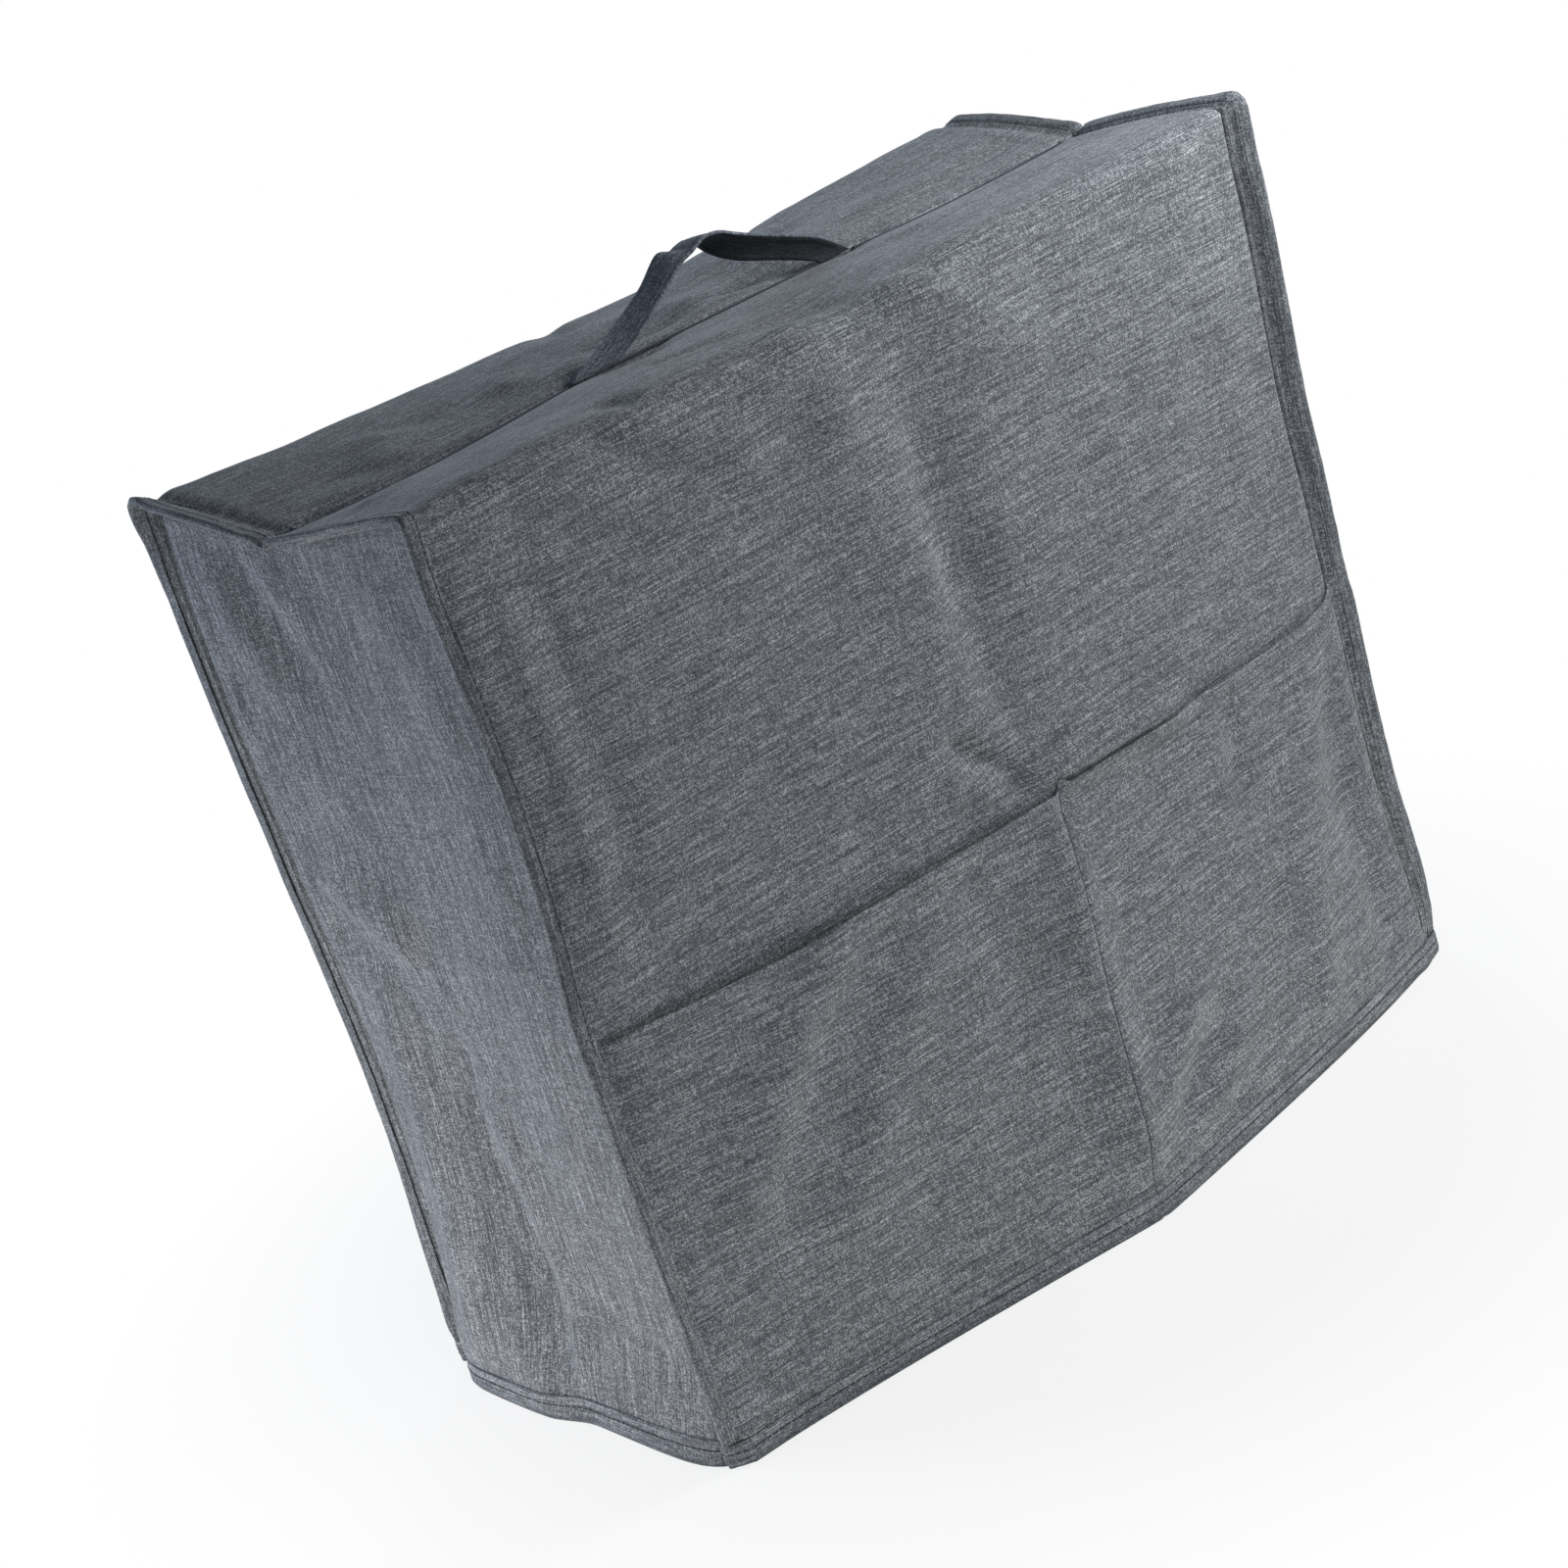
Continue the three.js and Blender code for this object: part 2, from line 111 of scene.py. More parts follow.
def through(points, at):
    """A smooth line through (place, value) points."""
    if at <= points[0][0]:
        return points[0][1]
    if at >= points[-1][0]:
        return points[-1][1]
    i = next(k for k in range(1, len(points)) if at <= points[k][0])
    (x0, y0), (x1, y1) = points[i - 1], points[i]
    before, after = points[max(i - 2, 0)], points[min(i + 1, len(points) - 1)]
    span = x1 - x0
    m0 = (y1 - before[1]) / (x1 - before[0]) * span
    m1 = (after[1] - y0) / (after[0] - x0) * span
    t = (at - x0) / span
    return (((2 * t - 3) * t * t + 1) * y0 + ((t - 2) * t + 1) * t * m0
            + (3 - 2 * t) * t * t * y1 + (t - 1) * t * t * m1)


def ripple(x, y, wave, seed):
    """Soft random relief from -1 to 1 with the given wave length in mm."""
    return noise.noise(Vector((x / wave, y / wave, seed)))


def creases(folds, x, y):
    """The relief of straight soft folds: rows of x, y, to x, to y, width, height and, if uneven, lean."""
    total = 0.0
    for x0, y0, x1, y1, width, height, *leans in folds:
        dx, dy = x1 - x0, y1 - y0
        length = math.hypot(dx, dy)
        along = ((x - x0) * dx + (y - y0) * dy) / length
        across = ((x - x0) * dy - (y - y0) * dx) / length
        over = max(-along, along - length, 0.0)
        if over > 4 * width or abs(across) > 5 * width:
            continue
        lean = leans[0] if leans else 0.0
        side_width = width * (1 + lean) if across > 0 else width * (1 - lean)
        end = ease(min(along, length - along) / (0.35 * length) + 0.35)
        total += height * hump(across, side_width) * hump(over, 1.6 * width) * end
    return total


# ---------------- how the cover stands

# How far each side seam draws in, in mm at each height.
DRAW_IN = {
    (FRONT, RIGHT): ((0, 12.6), (10, 12.2), (20, 9.7), (35, 8.9), (50, 9.5), (80, 11.4), (109, 12.5),
                     (150, 12.0), (190, 10.3), (220, 10.9), (250, 10.2), (280, 10.6), (310, 10.2),
                     (340, 7.9), (370, 5.4), (400, 3.5), (425, 2.9), (450, 0.8)),
    (FRONT, LEFT): ((0, 10.4), (12, 11.4), (34, 11.4), (60, 11.6), (95, 11.4), (126, 10.9), (190, 10.4),
                    (220, 11.4), (244, 13.2), (263, 14.6), (289, 15.8), (313, 16.1), (356, 15.2),
                    (391, 13.0), (420, 11.4), (446, 11.4)),
    (BACK, LEFT): ((0, 13.7), (10, 13.2), (20, 11.3), (40, 11.5), (60, 11.4), (80, 11.5), (104, 11.6),
                   (140, 11.6), (170, 11.2), (200, 10.0), (230, 8.4), (260, 6.2), (290, 5.2), (320, 3.8),
                   (350, 2.6), (410, 1.9), (430, 2.8), (450, 3.9)),
    (BACK, RIGHT): ((0, 13), (60, 12), (110, 14), (160, 14), (210, 12), (280, 9), (340, 6), (400, 3),
                    (450, 1)),
}
# How far each flange leans out of its face's plane, in degrees at each height, and over the top.
LEAN = {
    (FRONT, RIGHT): ((0, -22), (20, -16), (50, 0), (90, 6), (150, 8), (205, 10), (260, 22), (330, 28),
                     (450, 28)),
    (FRONT, LEFT): ((0, -42), (12, -28), (30, -8), (60, 2), (190, 0), (230, -12), (420, -12), (450, -4)),
    (BACK, LEFT): ((0, 55), (60, 74), (130, 88), (400, 90), (450, 60)),
    (BACK, RIGHT): ((0, 8), (200, 14), (450, 10)),
}
LEAN_ON_TOP = {(FRONT, LEFT): 3.0, (BACK, LEFT): 11.0, (FRONT, RIGHT): 16.0, (BACK, RIGHT): 16.0}
# How high the cloth swells beside each seam, and how deep it dives there.
SEAM_SWELL = {
    (FRONT, RIGHT): (0.9, 3.4), (FRONT, LEFT): (0.2, 0.1),
    (BACK, LEFT): (1.5, 0.8), (BACK, RIGHT): (1.5, 0.8),
}
# The valley of the top seam, and the upper edges of the front and the back, in mm at each width.
SEAM_RISE = ((-262, 437), (-215, 436), (-162, 436.5), (-75, 440.8), (0, 441), (77, 440.5), (150, 438.8),
             (215, 439), (262, 439.4))
FRONT_EDGE = ((-262, 450), (-180, 451), (-130, 448.5), (-90, 449), (-40, 446), (0, 442.5), (25, 444.5),
              (90, 448), (200, 449.6), (235, 449.5), (262, 448))
BACK_EDGE = ((-262, 451.4), (-240, 451.2), (-200, 449.8), (-152, 448.3), (-110, 446.3), (-70, 445),
             (-35, 444), (-19, 443.8), (15, 443), (45, 444.4), (70, 446), (94, 445.2), (130, 447.5),
             (190, 449.4), (230, 450), (262, 448.4))
# The mouth of each pocket, in mm above MOUTH.
MOUTH_LINE = ((-250, 6), (-195, 1.5), (-139, -2), (-79, -3), (-15, -3), (20, -2.7), (23.3, -2.2),
              (24.7, 3.0), (31, -0.4), (60, -1), (110, -2.2), (156, -3), (200, -3), (225, -2), (237, 0.5),
              (244, 4.5), (250, 11))


def ridge_x(face, z):
    """Where the outward ridge of a face runs: on the front it follows the pocket divider."""
    if face == BACK:
        return 4.0
    return through(((0, -10), (MOUTH, 24), (330, 20), (TOP, 0)), z)


def flare(face, x, z):
    """How far a face stands out below its top: a soft tent, fuller to the right of its ridge."""
    ridge = ridge_x(face, z)
    reach = HALF_WIDTH - ridge if x > ridge else HALF_WIDTH + ridge
    soft = 6.0 if face == FRONT else 22.0
    t = clamp((math.hypot(x - ridge, soft) - soft) / (reach - soft))
    across = 0.8 * (1 - t) + 0.2 * (1 - t ** 4) if (x > ridge) == (face == FRONT) else (1 - t) ** 1.3
    down = clamp((TOP - z) / TOP)
    return (FLARE + 0.3) * across * down ** 2.4 + corner_kick(face, z) * (1 - across)


def corner_kick(face, z):
    """How far the two lowest corners of a face are kicked out."""
    down = clamp((TOP - z) / TOP)
    return (6.5 if face == FRONT else 2.5) * down ** 9


def above_hem(v):
    """Fades a seam's dive out in the hem, where the tape holds it flat."""
    return ease((v - HEM_BAND * 0.6) / 16)


# How steeply the top sinks towards its seam, at its left and its right end.
TOP_SAG = {LEFT: 1.15, RIGHT: 1.8}


def fold_radius(face, x):
    t = clamp(abs(x) / HALF_WIDTH)
    return mix(3.5, 14.0 if face == FRONT else 8.5, 1 - t ** 4)


def seam_shift(x):
    """The top seam runs a little behind the middle at its two ends."""
    return 7.0 * clamp(abs(x) / HALF_WIDTH) ** 4


def seam_gap(x, down=0.0):
    """Half of the opening between the two edges of the top seam. It closes below, except round the strap."""
    beyond = min(abs(x - at) for at in STRAP_ENDS) - STRAP_WIDTH / 2
    below = mix(1.1, 0.05, ease(beyond / 5))
    return mix(1.3, below, ease(down / 2.5))


# Dips in the two halves of the top that leave room for the strap when it lies down:
# width, depth from the middle, reach in both, depth of the dip.
STRAP_DIPS = {
    FRONT: ((-54, 8, 18, 9, 4.6), (82, 6, 11, 6, 1.2)),
    BACK: ((60, 7, 18, 8, 3.4), (-75, 5, 9, 5, 0.9)),
}


def strap_dip(face, x, y):
    return sum(deep * hump(x - at_x, reach_x) * hump(y - at_y, reach_y)
               for at_x, at_y, reach_x, reach_y, deep in STRAP_DIPS[face])


FRONT_FOLDS = (
    # a long soft crest from the top to the pocket divider, then a sharp hollow on its right
    (-26, 452, -16, 232, 24, 2.4),
    (15, 398, 13, 296, 15, -5.2, -0.3),
    (13, 332, 16, 218, 14, -4.4, -0.3),
    (58, 440, 52, 250, 20, 1.4),
    (-58, 420, -50, 250, 22, -0.7),
    # the diagonal pull from the strap's right end
    (27, 449, 101, 391, 14, 4.2, 0.58),
    (-30, 456, -24, 388, 15, 2.2, 0.25),
    # soft dents under the upper edge on the left
    (-168, 448, -80, 387, 9, -2.4, 0.2),
    (-150, 452, -70, 402, 9, 1.3),
    (-128, 470, -124, 448, 8, -2.6),
    (-92, 418, -34, 436, 10, 1.5),
    (-110, 380, -30, 350, 20, -1.2),
    # level creases from lying folded
    (70, 356, 236, 354, 9, 0.8, 0.3),
    (60, 336, 240, 330, 8, -0.8),
    (50, 286, 238, 292, 8, 0.7, 0.3),
    (80, 244, 238, 256, 8, 0.9),
    (-225, 330, -60, 322, 10, 0.6, 0.2),
    (-230, 262, -110, 268, 9, -0.6),
    # the cloth that rests on the right pocket's edge, and the sharp fold that runs down to the divider
    (12, 212, 118, 201, 9, 6.0, 0.1),
    (100, 210, 236, 222, 10, 2.0),
    (-24, 247, 12, 213, 6.5, -5.4, 0.2),
    (-34, 228, 2, 209, 7, 2.4),
    # the long swell beside the left seam, and its hollow
    (-232, 226, -229, 428, 8, 1.6),
    (-211, 236, -208, 420, 9, -1.3),
    (-190, 240, -186, 400, 12, 0.8),
    (214, 250, 220, 430, 14, 1.2),
    # broad swells high on the right
    (90, 420, 200, 440, 26, -1.6),
    (150, 380, 232, 360, 22, 1.4),
    # the ridge that the pocket divider follows, and the hollow on its left
    (17, 196, -6, 6, 20, 4.6),
    (18, 192, -6, 6, 8, 1.4),
    (-40, 190, -32, 110, 14, -2.4),
    # the hollow beside the lower right seam, a dent under the right pocket's edge and a fold above the hem
    (226, 180, 216, 6, 13, -5.2, 0.2),
    (146, 192, 144, 146, 7, -2.8),
    (82, 66, 18, 26, 8, -3.0),
)
POCKET_FOLDS = (
    # a bright slope and then a hollow that run down the left pocket
    (-84, 184, -136, 141, 15, -3.0, 0.3),
    (-130, 146, -180, 86, 16, -3.2, 0.3),
    (-108, 194, -164, 154, 17, 3.8, 0.3),
    (-160, 158, -214, 96, 17, 3.8, 0.3),
    (-66, 172, -116, 124, 18, 2.6),
    (-112, 128, -160, 60, 18, 2.6),
    (-180, 90, -222, 30, 9, -1.5),
    (-70, 120, -90, 40, 26, 1.5),
    (128, 186, 126, 130, 9, 1.6),
    # the folds above the right half of the hem
    (70, 80, 12, 45, 9, 3.0),
    (92, 52, 30, 12, 10, 2.4),
    (226, 188, 178, 112, 15, 3.7),
    (180, 118, 140, 2, 15, 4.4),
    (60, 150, 90, 80, 18, 1.2),
)
BACK_FOLDS = (
    (-60, 440, -20, 330, 16, 2.4),
    (30, 446, 70, 350, 14, -2.2),
    (96, 452, 104, 420, 8, -2.4),
    (-30, 470, -26, 430, 9, -2.0),
    (-150, 410, -60, 380, 20, 1.6),
    (60, 300, 180, 330, 18, -1.6),
    (-200, 240, -60, 210, 14, 1.4, 0.2),
    (-10, 300, 20, 60, 20, 1.6),
    (70, 150, 110, 30, 14, -1.8),
    (150, 220, 170, 60, 15, 1.6),
    (-120, 150, -150, 30, 14, -1.8),
    (-60, 120, -80, 20, 12, 1.4),
)
ROOF_FOLDS = (
    # folds on the front half of the top, in widths and running lengths
    (-80, 500, -34, 480, 7, -1.8),
    (-36, 482, 10, 462, 9, -2.0),
    (-60, 488, 60, 500, 10, 1.2),
    (60, 528, 110, 500, 7, 1.4),
    (90, 512, 200, 492, 14, 1.8),
    (-200, 520, -110, 500, 14, -1.4),
    (-240, 505, -180, 524, 10, 1.6),
    (150, 530, 236, 508, 9, -1.6),
)
BACK_ROOF_FOLDS = (
    (-100, 536, -50, 515, 8, 1.8),
    (-70, 520, 20, 500, 12, -2.4),
    (-20, 490, 60, 478, 12, 1.6),
    (60, 470, 110, 490, 10, -2.0),
    (72, 455, 88, 538, 24, 4.4),
    (14, 540, 8, 496, 18, 4.4),
    (-100, 520, -84, 492, 14, 3.0),
    (-180, 530, -150, 496, 18, 2.6),
    (-50, 527, 64, 527, 8, -3.0, 0.2),
    (100, 505, 200, 520, 13, 1.8),
    (-220, 515, -120, 500, 13, -1.6),
    (-236, 530, -150, 536, 7, 1.2),
    (150, 535, 240, 515, 8, -1.8),
)


def face_relief(face, x, v):
    """The relief of the front or back: folds that fade out towards its sewn edges, and its seams' pull."""
    if face == FRONT:
        relief = creases(FRONT_FOLDS, x, v) + creases(ROOF_FOLDS, x, v)
        seed = 3.1
    else:
        relief = creases(BACK_FOLDS, x, v) + creases(BACK_ROOF_FOLDS, x, v)
        seed = 17.7
    relief += (1.5 * ripple(x, v, 95, seed) + 0.55 * ripple(x, v, 34, seed + 5)
               + 0.12 * ripple(x, v, 9, seed + 9))
    from_side = HALF_WIDTH - abs(x)
    from_seam = abs(SEAM_AT - v)
    inside = ease((from_side - 2) / 16) * ease((from_seam - 1) / 18) * ease((v - HEM_BAND) / 26)
    relief *= inside
    # the cloth swells beside a seam, dives into it, and puckers along its stitches
    swell, dive = SEAM_SWELL[face, RIGHT if x > 0 else LEFT]
    pucker = 0.12 * ripple(0.0, v, 14, seed + 2)
    from_fold = 1 - ease((v - FOLD_START + 14) / 20)
    return relief + (swell * (1 + pucker) * hump(from_side - 8.5, 6.0) * mix(0.5, 1, from_fold)
                     - dive * above_hem(v) * hump(from_side, 2.5))


def face_frame(face, x, v):
    """A point of the front or back before its sides draw in, with y outwards, and its outward direction."""
    top = through(FRONT_EDGE if face == FRONT else BACK_EDGE, x)
    radius = fold_radius(face, x)
    start, arc = top - radius, radius * math.pi / 2
    if v <= start:
        return Vector((x, HALF_DEPTH + flare(face, x, v), v)), Vector((0, 1, 0))
    if v <= start + arc:
        angle = (v - start) / radius
        z = start + radius * math.sin(angle)
        y = HALF_DEPTH - radius + radius * math.cos(angle) + flare(face, x, z)
        return Vector((x, y, z)), Vector((0, math.cos(angle), math.sin(angle)))
    down = max(v - SEAM_AT, 0.0)
    seam_y = face * seam_shift(x) + seam_gap(x, down)
    seam_z = through(SEAM_RISE, x)
    if v <= SEAM_AT:
        s = (v - start - arc) / (SEAM_AT - start - arc)
        ends = clamp(abs(x) / HALF_WIDTH) ** 2
        power = mix(2.0, TOP_SAG[RIGHT if x > 0 else LEFT], ends)
        y = mix(HALF_DEPTH - radius, seam_y, s)
        z = top - (top - seam_z) * s ** power
        # the edge rolls down into the seam
        z -= SEAM_ROLL * hump(y - seam_y, 1.7)
        if face == BACK:
            # the allowances are pressed to the back and raise the cloth over them
            z += 0.45 * ease((y - seam_y) / 3) * (1 - ease((y - seam_y - ALLOWANCE + 2) / 2))
        z -= strap_dip(face, x, y)
        return Vector((x, y, z)), Vector((0, 0, 1))
    # the allowance hangs inside, clear of the side panels
    z = seam_z - SEAM_ROLL - strap_dip(face, x, seam_y) - down
    return Vector((x * (1 - 0.07 * ease(down / 8)), seam_y, z)), Vector((0, 1, 0))


def seam_draw(side, y, z):
    """How far a side draws in: across it, this turns from the front's amount to the back's."""
    to_back = ease((y + HALF_DEPTH) / (2 * HALF_DEPTH))
    return mix(through(DRAW_IN[FRONT, side], z), through(DRAW_IN[BACK, side], z), to_back)


def settled(face, place):
    """A point that face_frame gives, on its own side of the bag and with the sides drawn in."""
    x, y, z = place.x, face * place.y, place.z
    side = RIGHT if x > 0 else LEFT
    return Vector((x - side * seam_draw(side, y, z) * clamp(abs(x) / HALF_WIDTH) ** 2.2, y, z))


def edge_frame(face, side, v):
    """The seam's root line beside a face: its place, the face's outward direction, the way that the flange
    points and the way that the flange's outer side looks."""
    def at(value):
        return settled(face, face_frame(face, side * HALF_WIDTH, clamp(value, 0, SEAM_AT))[0])

    place = at(v)
    ahead = at(v + 3) - at(v - 3)
    ahead.x = 0
    ahead.normalize()
    outward = Vector((0, -ahead.z, ahead.y)) if face == FRONT else Vector((0, ahead.z, -ahead.y))
    on_top = ease((v - FOLD_START + 8) / 36)
    over_top = mix(LEAN_ON_TOP[face, side], (LEAN_ON_TOP[FRONT, side] + LEAN_ON_TOP[BACK, side]) / 2,
                   ease((v - SEAM_AT + 34) / 34))
    lean = mix(through(LEAN[face, side], clamp(v, 0, TOP)), over_top, on_top)
    tilt = math.radians(lean + 3 * ripple(v, 40 * side + 90 * face, 60, 2.5))
    points = Vector((side * math.cos(tilt), 0, 0)) + outward * math.sin(tilt)
    lifted = outward * math.cos(tilt) - Vector((side * math.sin(tilt), 0, 0))
    return place, outward, points, lifted


def face_place(face, x, v, stand_off=0.0):
    """Where a point of the front or back sheet hangs, from its place on the flat sheet."""
    if abs(x) > HALF_WIDTH and v <= SEAM_AT:
        side = RIGHT if x > 0 else LEFT
        place, outward, points, lifted = edge_frame(face, side, v)
        dive = SEAM_SWELL[face, side][1] * above_hem(v)
        out = abs(x) - HALF_WIDTH
        return place + points * out + lifted * (stand_off - dive * hump(out, 2.0))
    reached = math.copysign(min(abs(x), HALF_WIDTH), x)
    place, outward = face_frame(face, reached, v)
    if v <= SEAM_AT:
        place += outward * (face_relief(face, reached, v) + stand_off)
    return settled(face, place)


# ---------------- sheets from grids

def spread(share, crowd):
    """Crowds evenly spaced shares from 0 to 1 towards both ends."""
    centred = 2 * share - 1
    return 0.5 + 0.5 * math.copysign(1 - (1 - abs(centred)) ** crowd, centred)


def new_object(name, mesh, material, smooth=True):
    data = bpy.data.meshes.new(name)
    mesh.to_mesh(data)
    mesh.free()
    for polygon in data.polygons:
        polygon.use_smooth = smooth
    data.materials.append(material)
    piece = bpy.data.objects.new(name, data)
    bpy.context.scene.collection.objects.link(piece)
    return piece


def cloth_grid(name, columns, rows, flat_at, place_at, material, weave_along_v=False, turn_over=False,
               joined=False):
    """A sheet: a grid whose points get a flat place in mm, kept as the weave's map, and a hung place."""
    mesh = bmesh.new()
    bmesh.ops.create_grid(mesh, x_segments=columns, y_segments=rows, size=0.5)
    flat = {vert: flat_at(vert.co.x + 0.5, vert.co.y + 0.5) for vert in mesh.verts}
    weave = mesh.loops.layers.uv.new("weave")
    for face in mesh.faces:
        for loop in face.loops:
            a, b = flat[loop.vert][:2]
            loop[weave].uv = (b, a) if weave_along_v else (a, b)
    for vert in mesh.verts:
        vert.co = place_at(*flat[vert]) * MM
    if joined:
        bmesh.ops.remove_doubles(mesh, verts=mesh.verts, dist=0.00001)
    if turn_over:
        bmesh.ops.reverse_faces(mesh, faces=mesh.faces)
    mesh.normal_update()
    return new_object(name, mesh, material)


def on_body(piece, body, slot, *nodes):
    """Puts a piece on its body and hides the CAD nodes that it stands for. Its slot is not used."""
    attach(piece, body)
    if nodes:
        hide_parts(*nodes)


def sew_in(sheet, thickness, slot, flat, held, *nodes, body="body", offset=-1.0):
    """Thickens a sheet and puts it on its body. Its flat size in mm and how it is held are not used."""
    solid = sheet.modifiers.new("cloth thickness", "SOLIDIFY")
    solid.thickness = thickness * MM
    solid.offset = offset
    solid.use_even_offset = False
    on_body(sheet, body, slot, *nodes)
    return solid


# ---------------- materials

def linear(code):
    """A node colour from an sRGB hex value."""
    parts = [int(code[i:i + 2], 16) / 255 for i in (1, 3, 5)]
    return [c / 12.92 if c <= 0.04045 else ((c + 0.055) / 1.055) ** 2.4 for c in parts] + [1.0]


def add_node(tree, kind, settings=(), **links):
    """Adds a node, sets its properties or input values, and links its inputs."""
    node = tree.nodes.new("ShaderNode" + kind)
    for key, value in dict(settings).items():
        if isinstance(key, str) and hasattr(node, key):
            setattr(node, key, value)
        else:
            node.inputs[key].default_value = value
    for key, source in links.items():
        socket = node.inputs[int(key[1:])] if key[1:].isdigit() else node.inputs[key.replace("_", " ")]
        tree.links.new(source, socket)
    return node


def new_material(name, **values):
    """A material whose shader gets these values, with its nodes."""
    material = bpy.data.materials.new(name)
    material.use_nodes = True
    tree = material.node_tree
    shader = tree.nodes["Principled BSDF"]
    for key, value in values.items():
        shader.inputs[key.replace("_", " ")].default_value = value
    return material, tree, shader


def melange(name, dark, middle, light, contrast=1.0, cloudy=1.0):
    """Melange polyester in a plain weave: every thread is spun from dark and pale fibres, so its shade
    wanders along its length. Threads cross over and under, which gives the eye a salt-and-pepper grain with
    fine broken lines along the weft and weaker ones along the warp. The cloth is quite matt, with a little
    fibre sheen."""
    material, tree, shader = new_material(name, Roughness=0.94, Specular_IOR_Level=0.18, Sheen_Weight=0.10,
                                          Sheen_Roughness=0.5)
    uv = add_node(tree, "UVMap", {"uv_map": "weave"}).outputs[0]
    # threads are woven about 0.35 mm apart: drawn at 0.56 mm, so that they still show from a step away
    pitch = 0.56
    threads = add_node(tree, "Mapping", {"Scale": (1 / pitch, 1 / pitch, 1)}, Vector=uv).outputs[0]
    cell = add_node(tree, "VectorMath", {"operation": "FLOOR"}, _0=threads).outputs[0]
    at = add_node(tree, "SeparateXYZ", (), _0=threads)
    thread = add_node(tree, "SeparateXYZ", (), _0=cell)
    weft_line = add_node(tree, "CombineXYZ", (), X=at.outputs[0], Y=thread.outputs[1]).outputs[0]
    warp_line = add_node(tree, "CombineXYZ", (), X=thread.outputs[0], Y=at.outputs[1]).outputs[0]

    def shades(line, along, across, seed, detail=1.0):
        """Noise that wanders at these rates along the line and from thread to thread."""
        placed = {"Location": (seed, seed * 1.7, 0), "Scale": (along, across, 1)}
        spot = add_node(tree, "Mapping", placed, Vector=line)
        settings = {"noise_dimensions": "2D", "Scale": 1.0, "Detail": detail, "Roughness": 0.6}
        return add_node(tree, "TexNoise", settings, Vector=spot.outputs[0]).outputs[0]

    weft = shades(weft_line, pitch / 7, 3.37, 3.0, 2.0)
    warp = shades(warp_line, 3.37, pitch / 6, 7.0, 2.0)
    over = add_node(tree, "TexChecker", {"Scale": 1.0}, Vector=threads).outputs["Fac"]
    crossing = add_node(tree, "Mix", {"data_type": "FLOAT"}, Factor=over)
    tree.links.new(weft, crossing.inputs[2])
    tree.links.new(warp, crossing.inputs[3])
    grain = add_node(tree, "TexWhiteNoise", {"noise_dimensions": "2D"}, Vector=cell).outputs[0]
    long_weft = shades(weft_line, pitch / 26, 5.19, 19.0, 0.0)
    long_warp = shades(warp_line, 5.19, pitch / 20, 23.0)
    patches = shades(uv, 1 / 60, 1 / 24, 29.0)
    parts = ((grain, 0.52 * contrast), (crossing.outputs[0], 0.76 * contrast), (weft, 0.10 * contrast),
             (long_weft, 0.50 * contrast), (long_warp, 0.20 * contrast), (patches, 0.05 * cloudy))
    level = None
    for part, share in parts:
        term = add_node(tree, "Math", {"operation": "MULTIPLY_ADD", 1: share, 2: 0.0}, _0=part)
        if level:
            tree.links.new(level, term.inputs[2])
        level = term.outputs[0]
    middle_level = 0.5 * sum(share for _, share in parts)
    limits = {1: middle_level - 0.5, 2: middle_level + 0.5}
    tone = add_node(tree, "MapRange", limits, _0=level).outputs[0]
    ramp = add_node(tree, "ValToRGB", (), Fac=tone)
    ramp.color_ramp.elements[0].color = linear(dark)
    ramp.color_ramp.elements[1].color = linear(light)
    ramp.color_ramp.elements.new(0.5).color = linear(middle)
    tree.links.new(ramp.outputs[0], shader.inputs["Base Color"])
    bump = add_node(tree, "Bump", {"Strength": 0.25, "Distance": 0.0002}, Height=tone)
    tree.links.new(bump.outputs[0], shader.inputs["Normal"])
    return material


def thread_material(name, dark, light):
    """Spun polyester sewing thread: dull, twisted from two shades and a little darker than the cloth."""
    material, tree, shader = new_material(name, Roughness=0.8)
    place = add_node(tree, "TexCoord").outputs["Object"]
    # the shades change about once in a millimetre, as the plies turn
    twist = add_node(tree, "TexNoise", {"Scale": 900.0, "Detail": 1.0}, Vector=place).outputs[0]
    ramp = add_node(tree, "ValToRGB", (), Fac=twist)
    ramp.color_ramp.elements[0].color = linear(dark)
    ramp.color_ramp.elements[1].color = linear(light)
    tree.links.new(ramp.outputs[0], shader.inputs["Base Color"])
    return material


PANEL_CLOTH = melange("woven melange polyester, panels", "#23272b", "#606367", "#b6b8bb", 0.89)
# the binding tape is the panels' cloth painted a little darker: painted shade for the flanges
TAPE_CLOTH = melange("melange binding tape, folded", "#26292d", "#5c5f63", "#a8abae", 0.9, 0.5)
STRAP_CLOTH = melange("melange strap, ribbed outer side", "#24282e", "#50555e", "#8d939c", 0.9, 0.5)
# the strap's inner side is the same cloth painted far darker: painted shade for the twisted right leg, where
# that side faces the camera
STRAP_SHADE_SIDE = melange("melange strap, inner side painted dark as shade", "#101214", "#292c31", "#52565c", 0.8, 0.5)
# the hem tape is the panels' cloth painted a little lighter: painted light for the table's glow on the hem
HEM_CLOTH = melange("melange binding tape, hem", "#2a2e32", "#6a6d71", "#bbbdc0", 0.9, 0.5)
THREAD = thread_material("spun polyester thread", "#1c2026", "#3a3f48")
PALE_THREAD = thread_material("spun polyester thread, pale", "#3c4045", "#65696e")


# ---------------- front, back and pocket cloth

